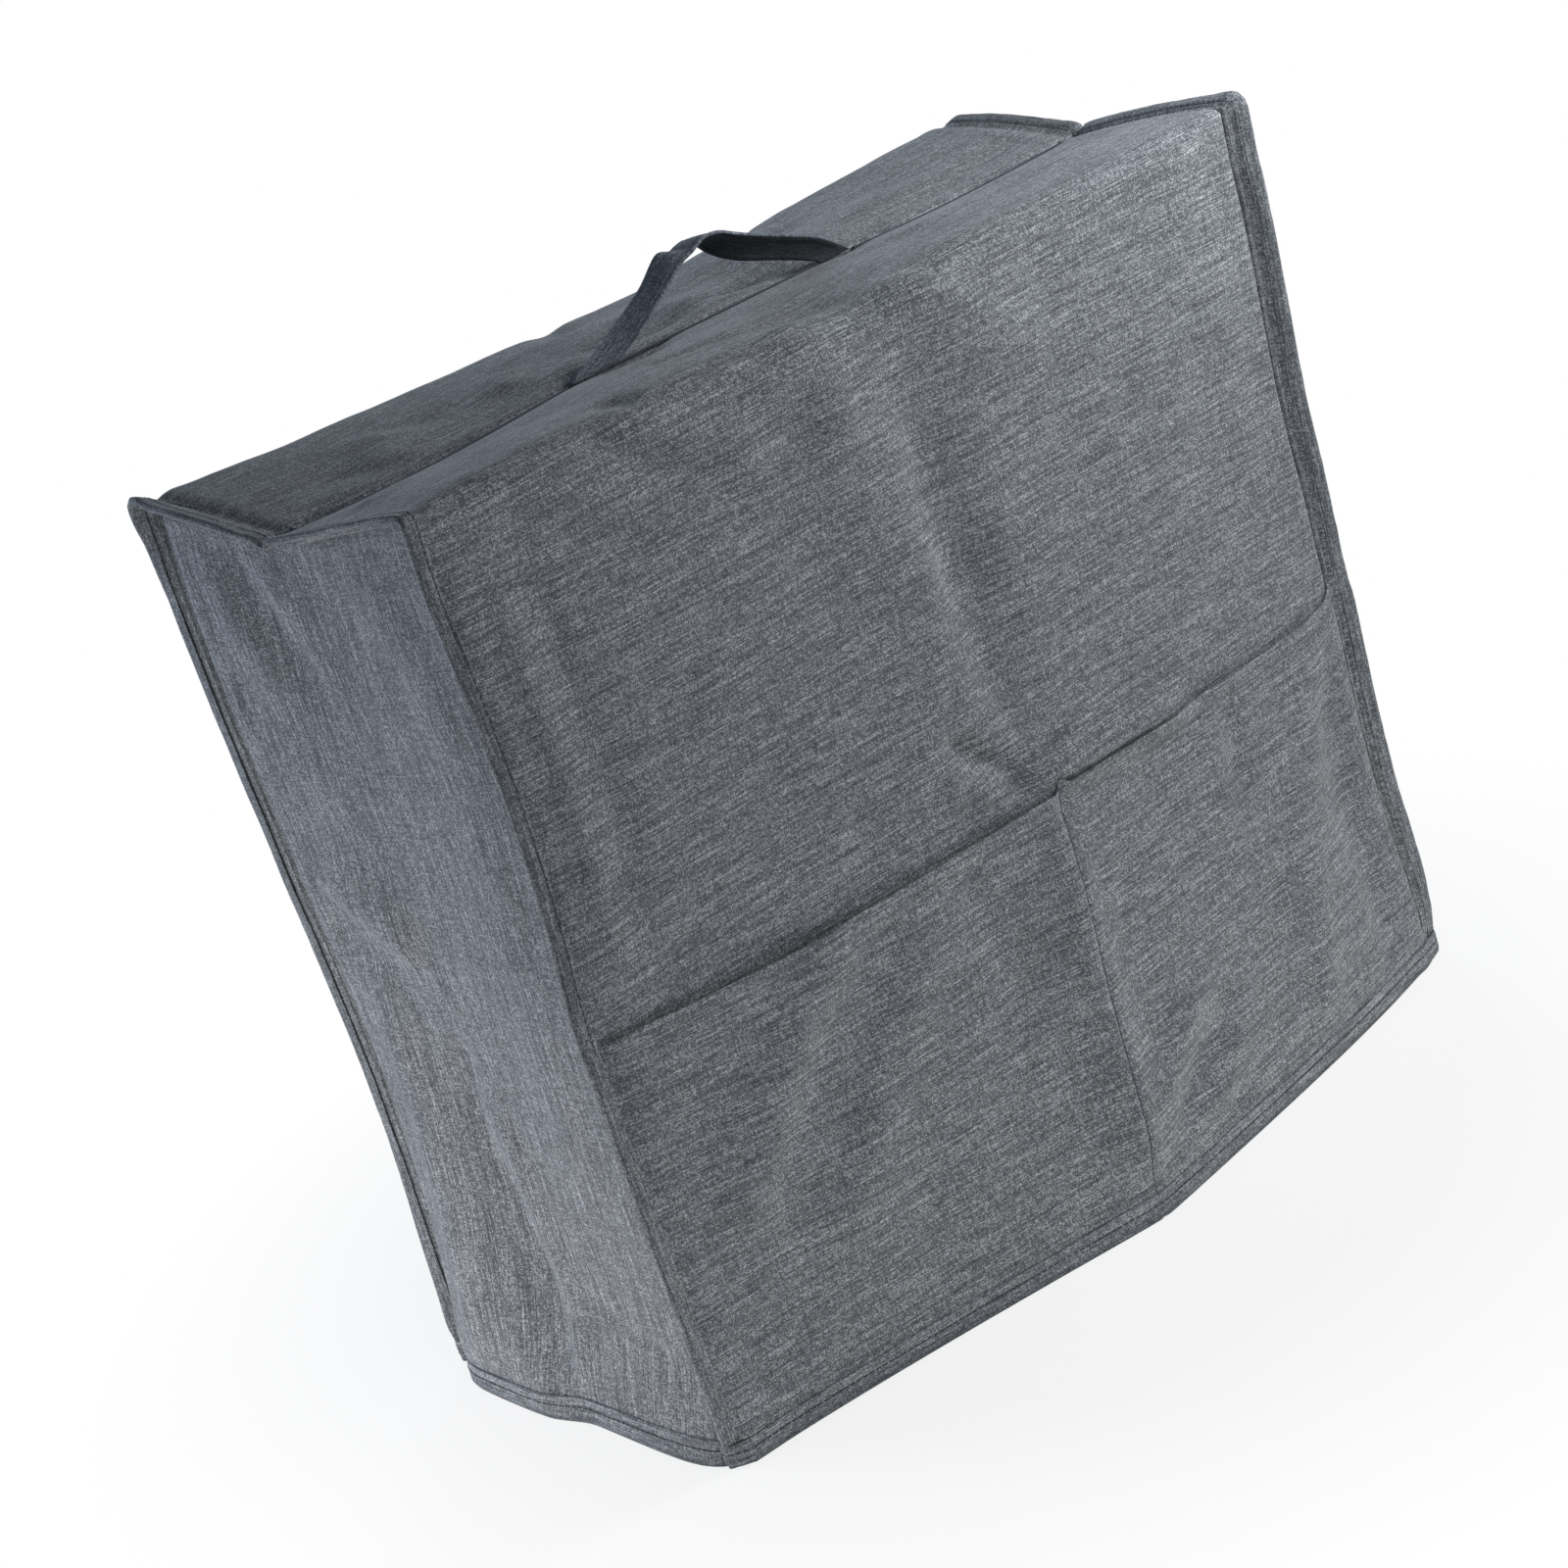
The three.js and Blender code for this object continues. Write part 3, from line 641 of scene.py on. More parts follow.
def face_cloth(name, face, node):
    width = HALF_WIDTH + FLANGE_CLOTH

    def flat_at(u, v):
        # rows crowd at the top seam
        along = SHEET_END * spread(v, 1.12)
        from_seam = along - SEAM_AT
        reach = 24.0 if from_seam < 0 else ALLOWANCE
        if abs(from_seam) < reach:
            along = SEAM_AT + math.copysign(reach * (abs(from_seam) / reach) ** 1.6, from_seam)
        return mix(-width, width, spread(u, 1.25)), along

    sheet = cloth_grid(name, 204, 196, flat_at, lambda x, v: face_place(face, x, v), PANEL_CLOTH,
                       turn_over=face == BACK)
    sew_in(sheet, CLOTH, "cloth", (2 * width, SHEET_END), "stretched", node)


face_cloth("front_cloth", FRONT, "front_panel")
face_cloth("back_cloth", BACK, "back_panel")


def divider_x(z):
    return through(((0, -11), (MOUTH, 24)), z)


def pocket_stand_off(x, z):
    """How far the pocket cloth's outer face stands off the front cloth's."""
    divider = divider_x(z)
    up = clamp((z - HEM_BAND) / (MOUTH - HEM_BAND))
    if x < divider:
        across = clamp((divider - x) / (divider + HALF_WIDTH))
        gape = 3.2 * math.sin(math.pi * across) ** 0.38
    else:
        across = clamp((x - divider) / (HALF_WIDTH - divider))
        gape = 1.5 * math.sin(math.pi * across) ** 0.9
    at_divider = hump(x - divider, 1.3)
    return 1.15 + gape * up ** 1.3 - 0.75 * at_divider + 0.7 * hump(abs(x - divider) - 7, 5) * up


def pocket_place(x, z):
    share = z / MOUTH
    height = share * (MOUTH + through(MOUTH_LINE, x))
    free = ease((HALF_WIDTH - abs(x) - 3) / 14) * ease((height - HEM_BAND) / 22)
    free *= 1 - 0.8 * hump(x - divider_x(height), 5)
    own = creases(POCKET_FOLDS, x, height) + 0.5 * ripple(x, height, 48, 31.0)
    stand_off = pocket_stand_off(x, height)
    out = stand_off + max(own, -0.35 * (stand_off - 0.4)) * free
    # the mouth is turned in and stitched 8 mm down: doubled cloth above, a groove at the stitches
    below_mouth = MOUTH + through(MOUTH_LINE, x) - height
    out += 0.55 * (1 - ease((below_mouth - 8) / 1.2)) - 0.8 * hump(below_mouth - MOUTH_HEM, 1.0)
    out = mix(out, 0.3, ease((abs(x) - HALF_WIDTH) / 4))
    return face_place(FRONT, x, height, out)


def pocket_cloth():
    width = HALF_WIDTH + FLANGE_CLOTH

    def flat_at(u, v):
        # columns crowd at the divider and at the two sides
        z = MOUTH * (1 - (1 - v) ** 1.25)
        t = 2 * u - 1
        reach = abs(t) - 0.1 * math.sin(2 * math.pi * abs(t))
        divider = divider_x(z)
        return divider + reach * ((width - divider) if t > 0 else (-width - divider)), z

    sheet = cloth_grid("pocket_cloth", 230, 84, flat_at, pocket_place, PANEL_CLOTH)
    # the cut has 12 mm more at the mouth, which is turned in
    sew_in(sheet, CLOTH, "cloth", (2 * width, MOUTH + 12), "stretched", "pocket_panel")


pocket_cloth()


# ---------------- side gussets

GUSSET_FOLDS = (
    # depth, height, to depth, to height, width, height of the fold and its lean, seen from outside
    (58, 428, 25, 356, 10, -2.4, -0.45),
    (80, 430, 58, 352, 12, 2.0),
    (80, 266, 32, 226, 14, 4.0, 0.55),
    (88, 244, 40, 206, 9, -1.6),
    # the hollow before the pleat, and the fold behind it
    (22, 186, 32, 148, 8, -3.0, -0.3),
    (32, 154, 22, 96, 8, -3.6, -0.3),
    (23, 104, 8, 12, 7.5, -3.6, -0.3),
    (14, 160, -3, 14, 7.5, 2.6),
    (74, 214, 68, 8, 15, 5.2, 0.2),
    (-90, 233, 4, 231, 8, 1.0),
    (-50, 300, -40, 120, 20, 2.0),
    (-30, 420, -60, 330, 16, 2.4),
    (-76, 380, -70, 220, 14, -1.2),
)


def gusset_roof(side, y):
    """The height of a side panel's upper edge at each depth."""
    x = side * HALF_WIDTH
    face = FRONT if y < seam_shift(x) else BACK
    top = through(FRONT_EDGE if face == FRONT else BACK_EDGE, x)
    radius = fold_radius(face, x)
    inward = abs(y)
    if inward > HALF_DEPTH - radius:
        below = radius ** 2 - (inward - HALF_DEPTH + radius) ** 2
        return top - radius + math.sqrt(max(below, 0.0))
    span = HALF_DEPTH - radius - face * seam_shift(x)
    s = clamp(1 - abs(y - seam_shift(x)) / span)
    return top - (top - through(SEAM_RISE, x)) * s ** TOP_SAG[side]


def hem_bulge(side, y, z, from_edge):
    """How far a side panel stands out past its seams towards its loose hem."""
    # a pleat runs up and back from the hem: the cloth behind it stands out over the cloth before it
    pleat = through(((0, -10), (30, 8), (60, 18), (175, 28)), z)
    past = ease((y - pleat) / 32.0)
    behind = through(((-10, 19), (10, 21), (40, 22), (100, 20)), y)
    # before the pleat the cloth turns out below a line that falls towards the front
    turns_at = mix(30.0, 68.0, clamp((y + HALF_DEPTH) / HALF_DEPTH))
    before = 15.6 * (0.8 * clamp(1 - z / turns_at) ** 1.1 + 0.2 * clamp(1 - z / 170) ** 1.7)
    bulge = mix(before, behind * clamp(1 - z / 180) ** 1.7, past)
    reach = 9.0 if y < 0 else 6.0
    return bulge * (1.0 if side == LEFT else 0.75) * (1 - math.exp(-max(from_edge - 0.5, 0.0) / reach))


def gusset_place(side, y, v):
    """Where a point of a side panel hangs, from its depth and its running length up the panel."""
    share = v / TOP
    depth_here = clamp(y, -HALF_DEPTH, HALF_DEPTH)
    roof = gusset_roof(side, depth_here) - 0.6
    # rows stay level and are only taken up near the upper edge
    z = v - (TOP - roof) * ease((share - 0.55) / 0.45) if v < TOP else roof
    middle = through(((0, -4), (140, 3), (280, 5), (440, 8)), z)
    # the centre crease folds inwards: sharp near its ends and soft in the middle
    soft = through(((0, 4), (140, 16), (280, 20), (400, 9), (445, 3)), z)
    depth = through(((0, 1), (60, 2.5), (140, 4), (260, 5), (400, 6.5), (445, 7.5)), z)
    reach = HALF_DEPTH - abs(middle)
    tent = 1 - clamp((math.hypot(y - middle, soft) - soft) / (reach - soft))
    from_edge = HALF_DEPTH - abs(y)
    inside = ease((from_edge - 1) / 13) * ease((z - HEM_BAND) / 24) * ease((roof - z - 0.4) / 16)
    # the right panel mirrors the left one, and is calmer
    relief = creases(GUSSET_FOLDS, y, z) if side == LEFT else 0.8 * creases(GUSSET_FOLDS, -0.9 * y, z)
    relief += 1.4 * ripple(y, z, 80, 40 + side) + 0.5 * ripple(y, z, 30, 44 + side)
    relief = relief * inside - depth * tent ** 1.15 * ease((from_edge - 1) / 20)
    # beside a seam the cloth turns out into the flange
    near = min(from_edge, roof - z)
    turned = 1.6 * max(1 - near / 3.0, 0.0) ** 2
    swell = 0.7 * hump(near - 9, 5) * ease(z / 20)
    x = HALF_WIDTH - seam_draw(side, y, z) + relief + turned + swell + hem_bulge(side, y, z, from_edge)
    inset = clamp(y, -HALF_DEPTH + 1.6, HALF_DEPTH - 1.6)
    kick = corner_kick(FRONT if y < 0 else BACK, z)
    return Vector((side * x, inset * (1 + kick / HALF_DEPTH * (y / HALF_DEPTH) ** 2), z))


def gusset_cloth(name, side, node):
    def flat_at(u, v):
        return mix(-HALF_DEPTH, HALF_DEPTH, spread(u, 1.3)), TOP * spread(v, 1.15)

    sheet = cloth_grid(name, 84, 168, flat_at, lambda y, v: gusset_place(side, y, v), PANEL_CLOTH,
                       weave_along_v=True, turn_over=side == LEFT)
    # the cut has a margin on three sides for the seam
    sew_in(sheet, CLOTH, "cloth", (2 * HALF_DEPTH + 2 * MARGIN, TOP + MARGIN), "stretched", node)


gusset_cloth("left_gusset_cloth", LEFT, "left_side_panel")
gusset_cloth("right_gusset_cloth", RIGHT, "right_side_panel")


def seam_stations(step):
    """(face, running length) pairs along a side seam: up the front, across the top, down the back."""
    count = round(SEAM_AT / step)
    up = [SEAM_AT * i / count for i in range(count + 1)]
    return [(FRONT, v) for v in up] + [(BACK, v) for v in reversed(up[:-1])]


SEAM_STATIONS = seam_stations(2.6)


def seam_frame(side, share):
    """The seam's root and directions, as edge_frame gives them, at a share of its whole length."""
    place = clamp(share) * (len(SEAM_STATIONS) - 1)
    i = min(int(place), len(SEAM_STATIONS) - 2)
    frames = [edge_frame(face, side, v) for face, v in SEAM_STATIONS[i:i + 2]]
    root, outward, points, lifted = (a.lerp(b, place - i) for a, b in zip(*frames))
    return root, outward.normalized(), points.normalized(), lifted.normalized()


def seam_length(side):
    roots = [edge_frame(face, side, v)[0] for face, v in SEAM_STATIONS]
    return sum((a - b).length for a, b in zip(roots, roots[1:]))


def gusset_margin(name, side):
    """The side panel's seam margin: it leaves the panel in a soft curve and lies in the flange."""
    total = seam_length(side)

    def place_at(along, across):
        root, outward, points, lifted = seam_frame(side, along / total)
        t = across / MARGIN
        start = root - outward * 6.5 - Vector((side * 0.9, 0, 0))
        bend = root - outward * 2.0 + Vector((side * 0.3, 0, 0))
        end = root + points * 6.0 - lifted * 1.5
        return start * (1 - t) ** 2 + bend * (2 * t * (1 - t)) + end * t ** 2

    strip = cloth_grid(name, 400, 8, lambda u, v: (u * total, v * MARGIN), place_at, PANEL_CLOTH,
                       turn_over=side == LEFT)
    sew_in(strip, CLOTH, "cloth", (total, MARGIN), "stretched")


gusset_margin("left_gusset_margin", LEFT)
gusset_margin("right_gusset_margin", RIGHT)


# ---------------- bound side seams

TAPE_COVER = 7.6       # how much of the flange the folded tape covers
FLANGE_HALF = 1.5      # half the flange's thickness under the tape
TAPE = 0.6             # the tape's own thickness
TAPE_WIDTH = 20.0      # of the tape before it is folded
TAPE_STITCHES = FLANGE - TAPE_COVER + 1.4      # how far out from the seam the tape is stitched


def tape_section(around):
    """The folded tape across the seam, for around from 0 (outer edge) over the fold to 1 (inner edge)."""
    start = FLANGE - TAPE_COVER
    leg = TAPE_COVER - FLANGE_HALF
    length = 2 * leg + math.pi * FLANGE_HALF
    run = around * length
    if run < leg:
        out, lift = start + run, FLANGE_HALF
    elif run > length - leg:
        out, lift = start + length - run, -FLANGE_HALF
    else:
        angle = (run - leg) / FLANGE_HALF
        out, lift = start + leg + FLANGE_HALF * math.sin(angle), FLANGE_HALF * math.cos(angle)
    return out, lift, run


def seam_tape(name, side, node):
    total = seam_length(side)

    def place_at(along, around_run):
        share = along / total
        around = around_run / tape_length
        root, _, points, lifted = seam_frame(side, share)
        out, lift, run = tape_section(around)
        # the tape is pulled in along its stitches and swells a little at its fold
        stitched = hump(out - TAPE_STITCHES, 0.9)
        # it covers the pocket cloth too, up to the mouth
        if around < 0.5:
            lift += 0.5 * (1 - ease((2 * share * SEAM_AT - MOUTH) / 4))
        wave = 0.22 * ripple(along, out * 2, 7, 60 + side) + 0.35 * ripple(along, 0, 26, 64 + side)
        lift = lift * (1 - 0.28 * stitched + 0.10 * hump(out - FLANGE + 1.5, 2)) - 1.05
        lift += (0.4 + 0.5 * clamp((out - 4) / 8)) * wave
        return root + points * (out + 0.5 * wave) + lifted * lift

    tape_length = tape_section(1.0)[2]
    tape = cloth_grid(name, 440, 16, lambda u, v: (u * total, v * tape_length), place_at, TAPE_CLOTH,
                      turn_over=side == RIGHT)
    sew_in(tape, TAPE, "binding", (total, TAPE_WIDTH), "folded", node)


seam_tape("left_seam_tape", LEFT, "left_seam_binding")
seam_tape("right_seam_tape", RIGHT, "right_seam_binding")


# ---------------- hem tape

EAR = FLANGE + 0.9
# The tape's turn round the end of a side seam: how far out, how far towards the face, and how far raised.
EAR_TURN = (
    (1.2, 2.2, 0), (EAR * 0.3, 2.5, 0), (EAR * 0.5, 2.6, 0.1), (EAR * 0.7, 2.4, 0.4), (EAR - 2.4, 1.9, 0.9),
    (EAR - 1.0, 1.0, 1.7), (EAR - 0.3, -0.6, 2.2), (EAR - 0.9, -2.0, 1.7), (EAR - 2.2, -2.9, 0.9),
    (EAR * 0.7, -3.3, 0.3), (EAR * 0.4, -3.6, 0), (2.2, -3.8, 0),
)


def hem_path():
    """The hem tape's outer and inner lines in plan, matched point by point, how far its lower edge is raised,
    and how much it leans outwards for each mm downwards."""
    stations = []
    step = 3.2

    def add(outer, inner, raised, low, high):
        stations.append((outer.xy, inner.xy, raised, (low - high).xy / HEM_BAND))

    def add_ear(face, side, turn):
        root, _, points, lifted = edge_frame(face, side, HEM_BAND * 0.5)
        low, high = edge_frame(face, side, 0.0)[0], edge_frame(face, side, HEM_BAND)[0]
        # the ear at the front left is raised less than the others
        lift = 0.4 if (face, side) == (FRONT, LEFT) else 1.0
        for out, deep, raised in turn:
            inner = root + points * max(out - 4.0, -1.5) - lifted * 1.6
            add(root + points * out + lifted * deep, inner, raised * lift, low, high)

    for face, side in ((FRONT, 1), (BACK, -1)):
        # along a face, from its left end to its right end as seen from outside
        count = round(2 * HALF_WIDTH / step)
        for i in range(count + 1):
            x = side * mix(-HALF_WIDTH, HALF_WIDTH, i / count)
            edge = face_place(face, x, HEM_BAND * 0.5)
            # the tape covers one more cloth on the front, the pocket's
            layers = 1.9 if face == FRONT else 0.9
            low, high = face_place(face, x, 0.0), face_place(face, x, HEM_BAND)
            inner = Vector((edge.x * 0.9925, edge.y - face * 1.9, 0))
            add(edge + Vector((0, face * layers, 0)), inner, 0.0, low, high)
        add_ear(face, side, EAR_TURN)
        count = round(2 * HALF_DEPTH / step)
        for i in range(1, count):
            y = face * mix(HALF_DEPTH - 4.6, -HALF_DEPTH + 4.6, i / count)
            edge = gusset_place(side, y, HEM_BAND * 0.5)
            low, high = gusset_place(side, y, 0.0), gusset_place(side, y, HEM_BAND)
            add(edge + Vector((side, 0, 0)), edge - Vector((side * 1.8, 0, 0)), 0.0, low, high)
        add_ear(-face, side, EAR_TURN[::-1])
    return stations


HEM_STATIONS = hem_path()


def hem_tape():
    lengths = [0.0]
    for a, b in zip(HEM_STATIONS, HEM_STATIONS[1:] + HEM_STATIONS[:1]):
        lengths.append(lengths[-1] + (b[0] - a[0]).length)
    count = len(HEM_STATIONS)
    band = HEM_BAND
    across_length = 2 * band + 4

    def flat_at(u, v):
        i = round(u * count)
        return lengths[i], v * across_length, i

    def place_at(run, across, i):
        share = across / across_length
        a, b, raised, slope = HEM_STATIONS[i % count]
        half_run = band / across_length
        if share < half_run:
            depth, z = 0.0, band - across
        elif share > 1 - half_run:
            depth, z = 1.0, across - (across_length - band)
        else:
            depth, z = (share - half_run) / (1 - 2 * half_run), 0.0
        # the tape's fold at its lower edge is rounded
        depth = mix(depth, 0.5, 0.35 * (1 - clamp(z / 2.2)) ** 2)
        z += 0.25 + raised * (1 - z / band)
        place = a.lerp(b, depth) + slope * (band / 2 - z)
        outwards = (a - b).normalized()
        wave = 0.25 * ripple(run, z, 9, 71) + 0.45 * ripple(run, 0, 34, 73)
        stitched = 0.45 * hump(z - 6.8, 0.9) if depth < 0.3 else 0.0
        edge_roll = 0.35 * hump(z - band, 1.0) if depth < 0.3 else 0.0
        place = place + outwards * ((wave + 0.2) * (0.3 + z / band) - stitched - edge_roll)
        return Vector((place.x, place.y, max(z + 0.5 * ripple(run, 0, 60, 75) * (z / band), 0.05)))

    tape = cloth_grid("hem_tape", count, 18, flat_at, place_at, HEM_CLOTH, turn_over=True, joined=True)
    sew_in(tape, TAPE, "binding", (lengths[-1], across_length), "folded", "hem_binding")


hem_tape()


# ---------------- carry strap

# The strap's two selvedges from its left end to its right end: the near one, then the far one. Its outer face
# looks up on the left leg, lies level over the crest and leans towards the front on the right leg.
STRAP_EDGES = (
    ((-65.5, 0.0, 0.0), (-85.0, 0.0, 0.0)),
    ((-62.5, -1.0, 0.6), (-80.0, 0.4, 3.4)),
    ((-58.0, -2.2, 1.6), (-71.5, 1.2, 6.4)),
    ((-50.4, -4.0, 5.4), (-60.0, 2.6, 10.8)),
    ((-44.6, -5.4, 9.4), (-49.0, 4.0, 15.4)),
    ((-36.0, -6.0, 15.0), (-38.5, 5.2, 19.8)),
    ((-26.2, -6.6, 21.0), (-29.2, 6.0, 24.6)),
    ((-19.0, -7.0, 26.2), (-21.4, 6.6, 30.4)),
    ((-14.6, -7.0, 28.9), (-16.4, 6.9, 33.9)),
    ((-11.6, -7.0, 30.4), (-13.4, 7.0, 34.7)),
    ((-8.6, -7.0, 31.5), (-10.4, 7.0, 34.0)),
    ((-5.4, -7.0, 32.5), (-7.2, 7.0, 33.0)),
    ((-1.5, -7.0, 34.2), (-3.2, 7.0, 34.2)),
    ((3.5, -7.0, 36.2), (2.6, 7.0, 34.8)),
    ((8.8, -7.0, 36.3), (7.6, 7.1, 31.6)),
    ((15.0, -7.0, 34.6), (12.0, 6.6, 26.6)),
    ((25.3, -6.5, 29.8), (18.4, 5.9, 21.6)),
    ((36.0, -6.0, 25.6), (27.5, 5.1, 16.8)),
    ((47.0, -5.4, 21.3), (37.5, 4.5, 13.0)),
    ((58.0, -4.7, 17.0), (48.5, 3.8, 9.1)),
    ((67.6, -4.0, 13.0), (58.0, 3.0, 5.4)),
    ((75.2, -2.9, 8.6), (64.0, 2.0, 2.8)),
    ((82.0, -1.4, 4.0), (67.4, 0.9, 1.0)),
    ((88.0, 0.0, 0.0), (68.6, 0.0, 0.0)),
)
STRAP_THICKNESS = 1.5


def strap_edge(which, share):
    place = share * (len(STRAP_EDGES) - 1)
    return Vector(through([(i, pair[which][axis]) for i, pair in enumerate(STRAP_EDGES)], place)
                  for axis in range(3))


def strap_run():
    """(running length along the strap's middle, share of its rows) pairs."""
    steps = 200
    middles = [(strap_edge(0, i / steps) + strap_edge(1, i / steps)) / 2 for i in range(steps + 1)]
    pairs = [(0.0, 0.0)]
    for i in range(steps):
        pairs.append((pairs[-1][0] + (middles[i + 1] - middles[i]).length, (i + 1) / steps))
    return pairs


STRAP_RUN = strap_run()
STRAP_LENGTH = STRAP_RUN[-1][0]


def strap_place(along, across):
    share = through(STRAP_RUN, along)
    near, far = strap_edge(0, share), strap_edge(1, share)
    width = across / STRAP_WIDTH
    place = near.lerp(far, width)
    ahead = strap_edge(0, min(share + 0.01, 1)) - strap_edge(0, max(share - 0.01, 0))
    face = ahead.cross(far - near).normalized()
    crown = (0.5 * (1 - (2 * width - 1) ** 2) + 0.18 * ripple(along, across, 8, 91)
             - 0.3 * hump(abs(width - 0.5) - 0.38, 0.05))
    place += face * crown * ease(min(share, 1 - share) / 0.06)
    return Vector((place.x, place.y, place.z + HINGE.z))


def carry_strap():
    strap = cloth_grid("carry_strap", 150, 16, lambda u, v: (u * STRAP_LENGTH, v * STRAP_WIDTH), strap_place,
                       STRAP_CLOTH)
    # the inner side gets the darker cloth, which paints the right leg's shade
    strap.data.materials.append(STRAP_SHADE_SIDE)
    solid = sew_in(strap, STRAP_THICKNESS, "strap", (STRAP_LENGTH, STRAP_WIDTH), "folded", "handle_strap",
                   body="handle", offset=0.0)
    solid.material_offset = 1


carry_strap()


def strap_root(name, left_x, right_x, node):
    """The strap's end, sewn in between the two seam allowances."""
    length = 10.0
    root = cloth_grid(name, 10, 6, lambda u, v: (mix(left_x, right_x, u), v * length),
                      lambda x, down: Vector((x, seam_shift(x), HINGE.z - 1.2 - down)), STRAP_CLOTH,
                      weave_along_v=True)
    sew_in(root, STRAP_THICKNESS, "strap", (right_x - left_x, length), "folded", node, offset=0.0)


strap_root("left_strap_root", -85.0, -65.5, "left_strap_end")
strap_root("right_strap_root", 68.6, 88.0, "right_strap_end")


# ---------------- stitches

def stitch_row(name, points, pitch=3.6, length=2.5, width=0.5, height=0.32, slot="binding", thread=THREAD):
    """A row of stitches along (place, outward) points: each a short bar of thread that lies on the cloth."""
    mesh = bmesh.new()
    run, next_at = 0.0, pitch / 2
    for (a, out_a), (b, out_b) in zip(points, points[1:]):
        step = (b - a).length
        while step > 0 and next_at <= run + step:
            share = (next_at - run) / step
            place, outward = a.lerp(b, share), out_a.lerp(out_b, share).normalized()
            ahead = (b - a).normalized()
            aside = outward.cross(ahead).normalized()
            outward = ahead.cross(aside)
            turn = Matrix((ahead, aside, outward)).transposed().to_4x4()
            size = Matrix.Diagonal((length * MM, width * MM, height * MM, 1))
            bmesh.ops.create_cube(mesh, size=1.0, matrix=Matrix.Translation(place * MM) @ turn @ size)
            next_at += pitch
        run += step
    on_body(new_object(name, mesh, thread, smooth=False), "body", slot)


def seam_stitches(name, side):
    points = []
    for i in range(381):
        root, _, flange, lifted = seam_frame(side, i / 380)
        points.append((root + flange * TAPE_STITCHES + lifted * 0.15, lifted))
    stitch_row(name, points)


seam_stitches("left_seam_stitches", LEFT)
seam_stitches("right_seam_stitches", RIGHT)


def top_seam_painted_shade(name, from_x, to_x):
    """Painted shade: a row of dark thread bars at the bottom of the top seam's groove, which draws the
    crease's dark line where the seam is pulled open.
    """
    points = []
    for i in range(81):
        x = mix(from_x, to_x, i / 80)
        points.append((Vector((x, seam_shift(x), through(SEAM_RISE, x) - 0.5)), Vector((0, 0, 1))))
    stitch_row(name, points, pitch=2.4, length=2.6, width=2.0, height=0.9)


# the dark bars are painted shade for the crease, and they are left out where the strap comes through
top_seam_painted_shade("top_seam_shade_left", -HALF_WIDTH + 6, -88.0)
top_seam_painted_shade("top_seam_shade_middle", -62.0, 66.0)
top_seam_painted_shade("top_seam_shade_right", 91.0, HALF_WIDTH - 6)


def mouth_stitches():
    points = []
    for i in range(241):
        x = mix(-HALF_WIDTH + 3, HALF_WIDTH - 3, i / 240)
        height = MOUTH - MOUTH_HEM * MOUTH / (MOUTH + through(MOUTH_LINE, x))
        points.append((pocket_place(x, height) + Vector((0, -0.12, 0)), Vector((0, -1, 0))))
    stitch_row("pocket_mouth_stitches", points, slot="cloth", thread=PALE_THREAD)


mouth_stitches()


def divider_stitches():
    points = []
    for i in range(121):
        height = mix(HEM_BAND - 2, MOUTH - 0.5, i / 120)
        points.append((pocket_place(divider_x(height), height) + Vector((0, -0.05, 0)), Vector((0, -1, 0))))
    stitch_row("pocket_divider_stitches", points, pitch=2.6, length=2.3, slot="cloth")


divider_stitches()


def hem_stitches():
    height = 6.9
    points = []
    for a, b, _, slope in HEM_STATIONS + HEM_STATIONS[:1]:
        outwards = (a - b).normalized()
        place = a + outwards * 0.05 + slope * (HEM_BAND / 2 - height)
        points.append((Vector((place.x, place.y, height)), Vector((outwards.x, outwards.y, 0))))
    stitch_row("hem_stitches", points)


hem_stitches()


# ---------------- floor, light and camera

def seen_directly(tree, *kinds):
    """A node value of 1 for rays of these kinds and 0 for the others."""
    rays = add_node(tree, "LightPath").outputs
    seen = rays[kinds[0]]
    for kind in kinds[1:]:
        seen = add_node(tree, "Math", {"operation": "MAXIMUM"}, _0=seen, _1=rays[kind]).outputs[0]
    return seen


def flat_floor():
    mesh = bmesh.new()
    just_below = Matrix.Translation((0, 0, -0.0004))
    bmesh.ops.create_grid(mesh, x_segments=1, y_segments=1, size=30.0, matrix=just_below)
    material, tree, shader = new_material("plain white floor", Base_Color=linear("#f4f4f3"), Roughness=1.0,
                                          Specular_IOR_Level=0.0)
    # the camera, gloss and glass see plain white far away, and a lightened shadow near the object
    white = add_node(tree, "Emission", {"Strength": 1.0})
    place = add_node(tree, "TexCoord").outputs["Object"]
    distance = add_node(tree, "VectorMath", {"operation": "LENGTH"}, _0=place).outputs["Value"]
    far = add_node(tree, "MapRange", {1: 0.25, 2: 0.46, 3: 0.79, 4: 1.0}, _0=distance).outputs[0]
    seen = seen_directly(tree, "Is Camera Ray", "Is Glossy Ray", "Is Transmission Ray")
    share = add_node(tree, "Math", {"operation": "MULTIPLY"}, _0=far, _1=seen).outputs[0]
    mixed = add_node(tree, "MixShader", (), _0=share, _1=shader.outputs[0], _2=white.outputs[0])
    tree.links.new(mixed.outputs[0], tree.nodes["Material Output"].inputs[0])
    new_object("floor", mesh, material, smooth=False)


flat_floor()


def sky():
    """A cool even sky that lights the object; the camera and glass see plain white."""
    world = bpy.data.worlds.new("soft studio")
    bpy.context.scene.world = world
    world.use_nodes = True
    tree = world.node_tree
    lit = tree.nodes["Background"]
    lit.inputs[0].default_value = (0.74, 0.86, 1.0, 1.0)
    lit.inputs[1].default_value = 0.18
    white = add_node(tree, "Background", {"Strength": 1.0})
    white.inputs[0].default_value = (1, 1, 1, 1)
    seen = seen_directly(tree, "Is Camera Ray", "Is Transmission Ray")
    mixed = add_node(tree, "MixShader", (), _0=seen, _1=lit.outputs[0], _2=white.outputs[0])
    tree.links.new(mixed.outputs[0], tree.nodes["World Output"].inputs[0])


sky()


